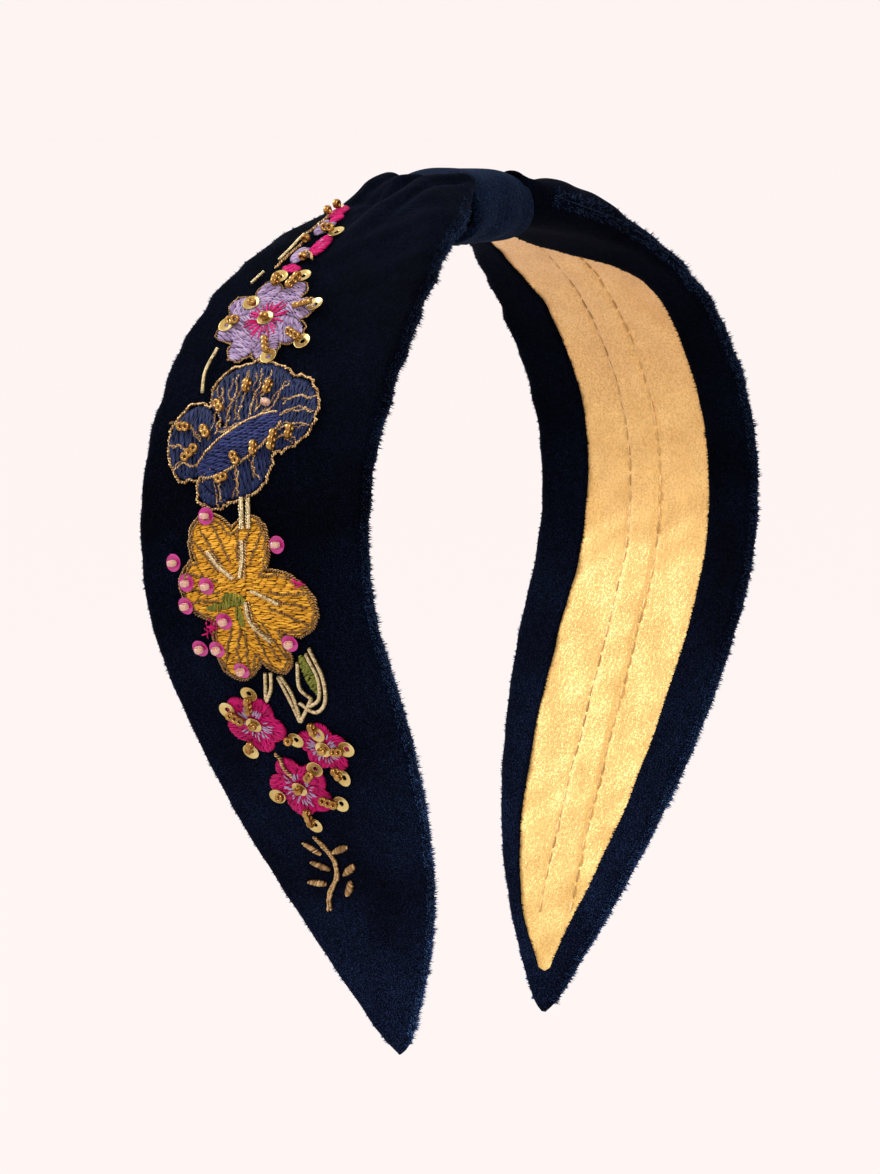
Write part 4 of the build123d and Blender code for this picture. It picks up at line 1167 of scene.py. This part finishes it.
def stems_and_leaves():
    """The wrapped stem, the purl leaf with its green stitches, and the small gold chain."""
    stem, wrap = [], []
    for points in ([(-0.5, 83.6), (-0.8, 86.0), (-1.0, 88.4)], [(0.8, 83.6), (0.5, 86.0), (0.3, 88.4)]):
        stem += coils([points], SATIN + 0.7, 0.38)
        wrap += cords([np.array(points) + [0.5, 0]], SATIN + 0.5, radius=0.12)
    embroidered("flower_stem_coils", stem + wrap, PURL, ["flower_stem"])
    lines = [
        [(-9.6, 107.6), (-10.4, 112.8), (-9.2, 118.0), (-6.4, 120.4), (-3.8, 118.6)],
        [(-8.6, 108.6), (-9.4, 113.0), (-8.2, 117.4), (-5.8, 119.2)],
        [(-6.4, 110.4), (-5.0, 115.4), (-6.6, 117.6)],
        [(0.9, 112.8), (2.7, 118.2)],
        [(-0.3, 112.6), (0.9, 116.0), (2.7, 118.6)],
        [(-6.6, 117.6), (-4.6, 120.2), (-2.7, 122.6)],
        [(-1.4, 113.4), (-2.2, 118.6), (-2.6, 122.6)],
        [(-2.0, 113.2), (-3.0, 117.0), (-2.9, 122.4)],
    ]
    embroidered("leaf_purl_coils", coils(lines, SATIN + 0.25, 0.38), PURL, ["leaf_purl"])
    green = satin_rows(Oval(-7.8, 113.0, 1.2, 4.0, 6), [], 35, spacing=0.26, stitch=1.8, spread=0.1)
    embroidered("green_leaf_stitches", [thread_part(green, SATIN)], GREEN, ["green_leaf"])
    line = [(4.6, 129.2), (3.9, 130.6), (3.9, 132.2), (3.0, 134.0)]
    chain = cords([line], SATIN + 0.6, coil=0.26, radius=0.16)
    embroidered("gold_chain", chain, GOLD_THREAD, ["flower_chain"])


def sprig():
    """A plain leafy sprig in gold thread near the tip."""
    stem = np.array([(3.4, 147.0), (1.2, 151.0), (1.6, 155.0), (4.4, 159.0), (5.6, 162.6)])
    gold = cords([stem + [shift, 0] for shift in (-0.22, 0.22)], SATIN, radius=0.15)
    embroidered("sprig_stem", gold, GOLD_THREAD, ["gold_sprig_stem"])
    leaves = []
    table = [(149.4, -1, 25), (149.6, 4.8, -35), (153.6, -1.4, 40)]
    table += [(153.2, 4.4, -20), (157.6, 0, 60), (157, 6.2, 0)]
    for s, y, turn in table:
        shape = Oval(y, s, 1.9, 0.65, turn)
        leaves += satin_rows(shape, [], turn + 58, spacing=0.26, stitch=2.0)
    part = thread_part(leaves, SATIN - 0.1, 0.3, 0.16, tone=(0.2, 1.0))
    embroidered("sprig_leaves", [part], GOLD_THREAD, ["gold_sprig_leaves"])


def solids_of(node):
    """Each separate solid of a CAD node as its centre and thinnest direction, in millimetres."""
    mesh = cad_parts[node].data
    parent = list(range(len(mesh.vertices)))

    def root(i):
        while parent[i] != i:
            parent[i] = parent[parent[i]]
            i = parent[i]
        return i

    where = {}
    for v in mesh.vertices:
        key = tuple(round(c * 1e6) for c in v.co)
        parent[v.index] = where.setdefault(key, v.index)
    for edge in mesh.edges:
        parent[root(edge.vertices[0])] = root(edge.vertices[1])
    groups = {}
    for v in mesh.vertices:
        groups.setdefault(root(v.index), []).append(v.co)
    found = []
    for group in groups.values():
        p = np.array(group) / MM
        _, _, axes = np.linalg.svd(p - p.mean(0))
        found.append(((p.min(0) + p.max(0)) / 2, axes[2]))
    return sorted(found, key=lambda row: (round(float(row[0][2]), 3), round(float(row[0][1]), 3)))


def arch_length_at(point):
    """The length s at which a point of the left arm sits."""
    s = np.arange(10, 180, 0.25)
    near = place(LEFT, s, point[1], 2.8)
    return s[int(np.argmin(np.linalg.norm(near - point, axis=1)))]


def lathe(centre, axis, profile, count):
    """Points and faces of a closed profile of (radius, height) turned about an axis."""
    radius, high = np.array(profile).T
    angle = np.linspace(0, 2 * pi, count, endpoint=False)
    a = np.cross(axis, [0.31, 0.83, 0.46])
    a /= np.linalg.norm(a)
    b = np.cross(axis, a)
    ring = np.cos(angle)[:, None] * a + np.sin(angle)[:, None] * b
    points = centre + ring[:, None] * radius[None, :, None] + axis * high[None, :, None]
    faces = grid_faces(count, len(profile), closed_rows=True, closed_columns=True)
    return points.reshape(-1, 3), faces.tolist()


def sequins(name, node, material, tilt):
    """Cupped sequins with a hole, where the CAD's flat ones are."""
    profile = [(0.42, -0.1), (0.7, -0.08), (1.1, -0.02), (1.42, 0.09), (1.5, 0.14)]
    profile += [(1.46, 0.17), (1.36, 0.14), (1.05, 0.06), (0.7, 0.0), (0.46, -0.02)]
    parts = []
    for centre, _ in solids_of(node):
        s = arch_length_at(centre)
        up = outward(LEFT, np.array(s))
        lifted = centre + up * float(rise_at(s, centre[1]))
        axis = up + np.array([0, rng.normal(0, tilt), rng.normal(0, tilt)])
        points, faces = lathe(lifted, axis / np.linalg.norm(axis), profile, 40)
        parts.append((points, faces, rng.random()))
    return embroidered(name, parts, material, [node], closed=True)


def beads(name, node, material):
    """Round-shouldered seed beads with a hole, where the CAD's are."""
    turn = np.linspace(0, 2 * pi, 18, endpoint=False)
    profile = [(0.52 + 0.33 * cos(a) - 0.03 * cos(2 * a), 0.485 * sin(a)) for a in turn]
    parts = []
    for centre, axis in solids_of(node):
        s = arch_length_at(centre)
        # The beads beside the knot sit nearer the middle than the CAD's.
        inward = np.array([0, 1.3 if s < 25 else 0.0, 0])
        lifted = centre + outward(LEFT, np.array(s)) * float(rise_at(s, centre[1])) - inward
        points, faces = lathe(lifted, axis, profile, 24)
        parts.append((points, faces, rng.random()))
    return embroidered(name, parts, material, [node], closed=True)


def bead_linings():
    """The copper lining in the hole of each clear bead."""
    profile = [(0.1, -0.46), (0.22, -0.46), (0.22, 0.46), (0.1, 0.46)]
    parts = [(*lathe(centre, axis, profile, 16), 0.5) for centre, axis in solids_of("clear_beads")]
    points, faces, _ = joined(parts)
    return dress(finish_mesh(mesh_object("bead_linings", points, faces)), COPPER, "left_arm")


# ---------------------------------------------------------------------------
# Everything in place
# ---------------------------------------------------------------------------

for arm in (LEFT, RIGHT):
    felt_layer(arm)
    velvet_cover(arm)
    lining_sheet(arm)
    channel_thread(arm)
    hoop_half(arm)
    edge_pile(arm)
    hem_pile(arm)
knot_sleeve()
knot_core()
lilac_flower()
navy_flower()
yellow_flower()
pink_flowers()
bud_spray()
stems_and_leaves()
sprig()
sequins("gold_sequin_discs", "gold_sequins", SEQUIN_GOLD, 0.07)
sequins("magenta_sequin_discs", "magenta_sequins", SEQUIN_PINK, 0.07)
beads("gold_seed_beads", "gold_beads", BEAD_GOLD)
beads("clear_seed_beads", "clear_beads", BEAD_CLEAR)
bead_linings()

for node, material in {
    "hoop_tip_cap_left": CAP,
    "hoop_tip_cap_right": CAP,
    "binding_thread": NAVY_THREAD,
    "closing_stitches": NAVY_THREAD,
}.items():
    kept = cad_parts[node]
    kept.data.materials.clear()
    kept.data.materials.append(material)

# ---------------------------------------------------------------------------
# Stage, lights and camera
# ---------------------------------------------------------------------------

PALE = (0.991, 0.905, 0.888)
AZIMUTH = 57.0
ELEVATION = 6.125
ROLL = 1.464
DISTANCE = 1174.6
LENS = 208.546528
AIM_OFFSET = (-3.97, 4.71)
FLOOR_DROP = 45
FLOOR_HALF = 4000


def stage_floor():
    """A plain pale floor, well below the tips."""
    low = CAD_BOX[0].z / MM - FLOOR_DROP
    corners = [(x * FLOOR_HALF, y * FLOOR_HALF, low) for x, y in ((-1, -1), (1, -1), (1, 1), (-1, 1))]
    floor = mesh_object("floor", corners, [(0, 1, 2, 3)])
    made, _, shader = new_material("pale_floor", Base_Color=(0.02, 0.02, 0.02, 1), Roughness=1.0)
    shader.inputs["Specular IOR Level"].default_value = 0.0
    shader.inputs["Emission Color"].default_value = (*PALE, 1)
    shader.inputs["Emission Strength"].default_value = 0.985
    floor.data.materials.append(made)


def soft_light(name, where, size, power, colour=(1, 1, 1)):
    """An area light that faces the middle of the object."""
    data = bpy.data.lights.new(name, "AREA")
    data.size, data.energy, data.color = size, power, colour
    light = bpy.data.objects.new(name, data)
    bpy.context.scene.collection.objects.link(light)
    light.location = where
    light.rotation_mode = "QUATERNION"
    light.rotation_quaternion = (-Vector(where)).to_track_quat("-Z", "Y")


def camera():
    """A long lens at the height of the head space, turned slightly with the object."""
    turn, tilt, roll = radians(AZIMUTH), radians(ELEVATION), radians(ROLL)
    back = Vector((-sin(turn) * cos(tilt), -cos(turn) * cos(tilt), sin(tilt)))
    level = Vector((cos(turn), -sin(turn), 0))
    upright = back.cross(level)
    right = level * cos(roll) - upright * sin(roll)
    up = level * sin(roll) + upright * cos(roll)
    data = bpy.data.cameras.new("camera")
    data.lens = LENS
    data.clip_start, data.clip_end = 0.01, 20
    cam = bpy.data.objects.new("camera", data)
    bpy.context.scene.collection.objects.link(cam)
    aim = Vector((0, 0, -0.25)) + right * AIM_OFFSET[0] + up * AIM_OFFSET[1]
    stance = Matrix((right, up, back)).transposed().to_4x4()
    cam.matrix_world = Matrix.Translation((aim + back * DISTANCE) * MM) @ stance
    bpy.context.scene.camera = cam


world = bpy.data.worlds.new("studio")
world.use_nodes = True
world.node_tree.nodes["Background"].inputs["Color"].default_value = (*PALE, 1)
world.node_tree.nodes["Background"].inputs["Strength"].default_value = 1.0
bpy.context.scene.world = world
bpy.context.scene.view_settings.view_transform = "Standard"
stage_floor()
soft_light("key", (-0.55, -0.75, 0.75), 0.45, 7.0, (1, 0.97, 0.93))
soft_light("fill", (0.8, -0.6, 0.2), 0.7, 4.0, (0.93, 0.96, 1))
soft_light("rim", (-0.2, 0.8, 0.6), 0.5, 7.0, (0.85, 0.92, 1))
camera()

bpy.context.view_layer.update()
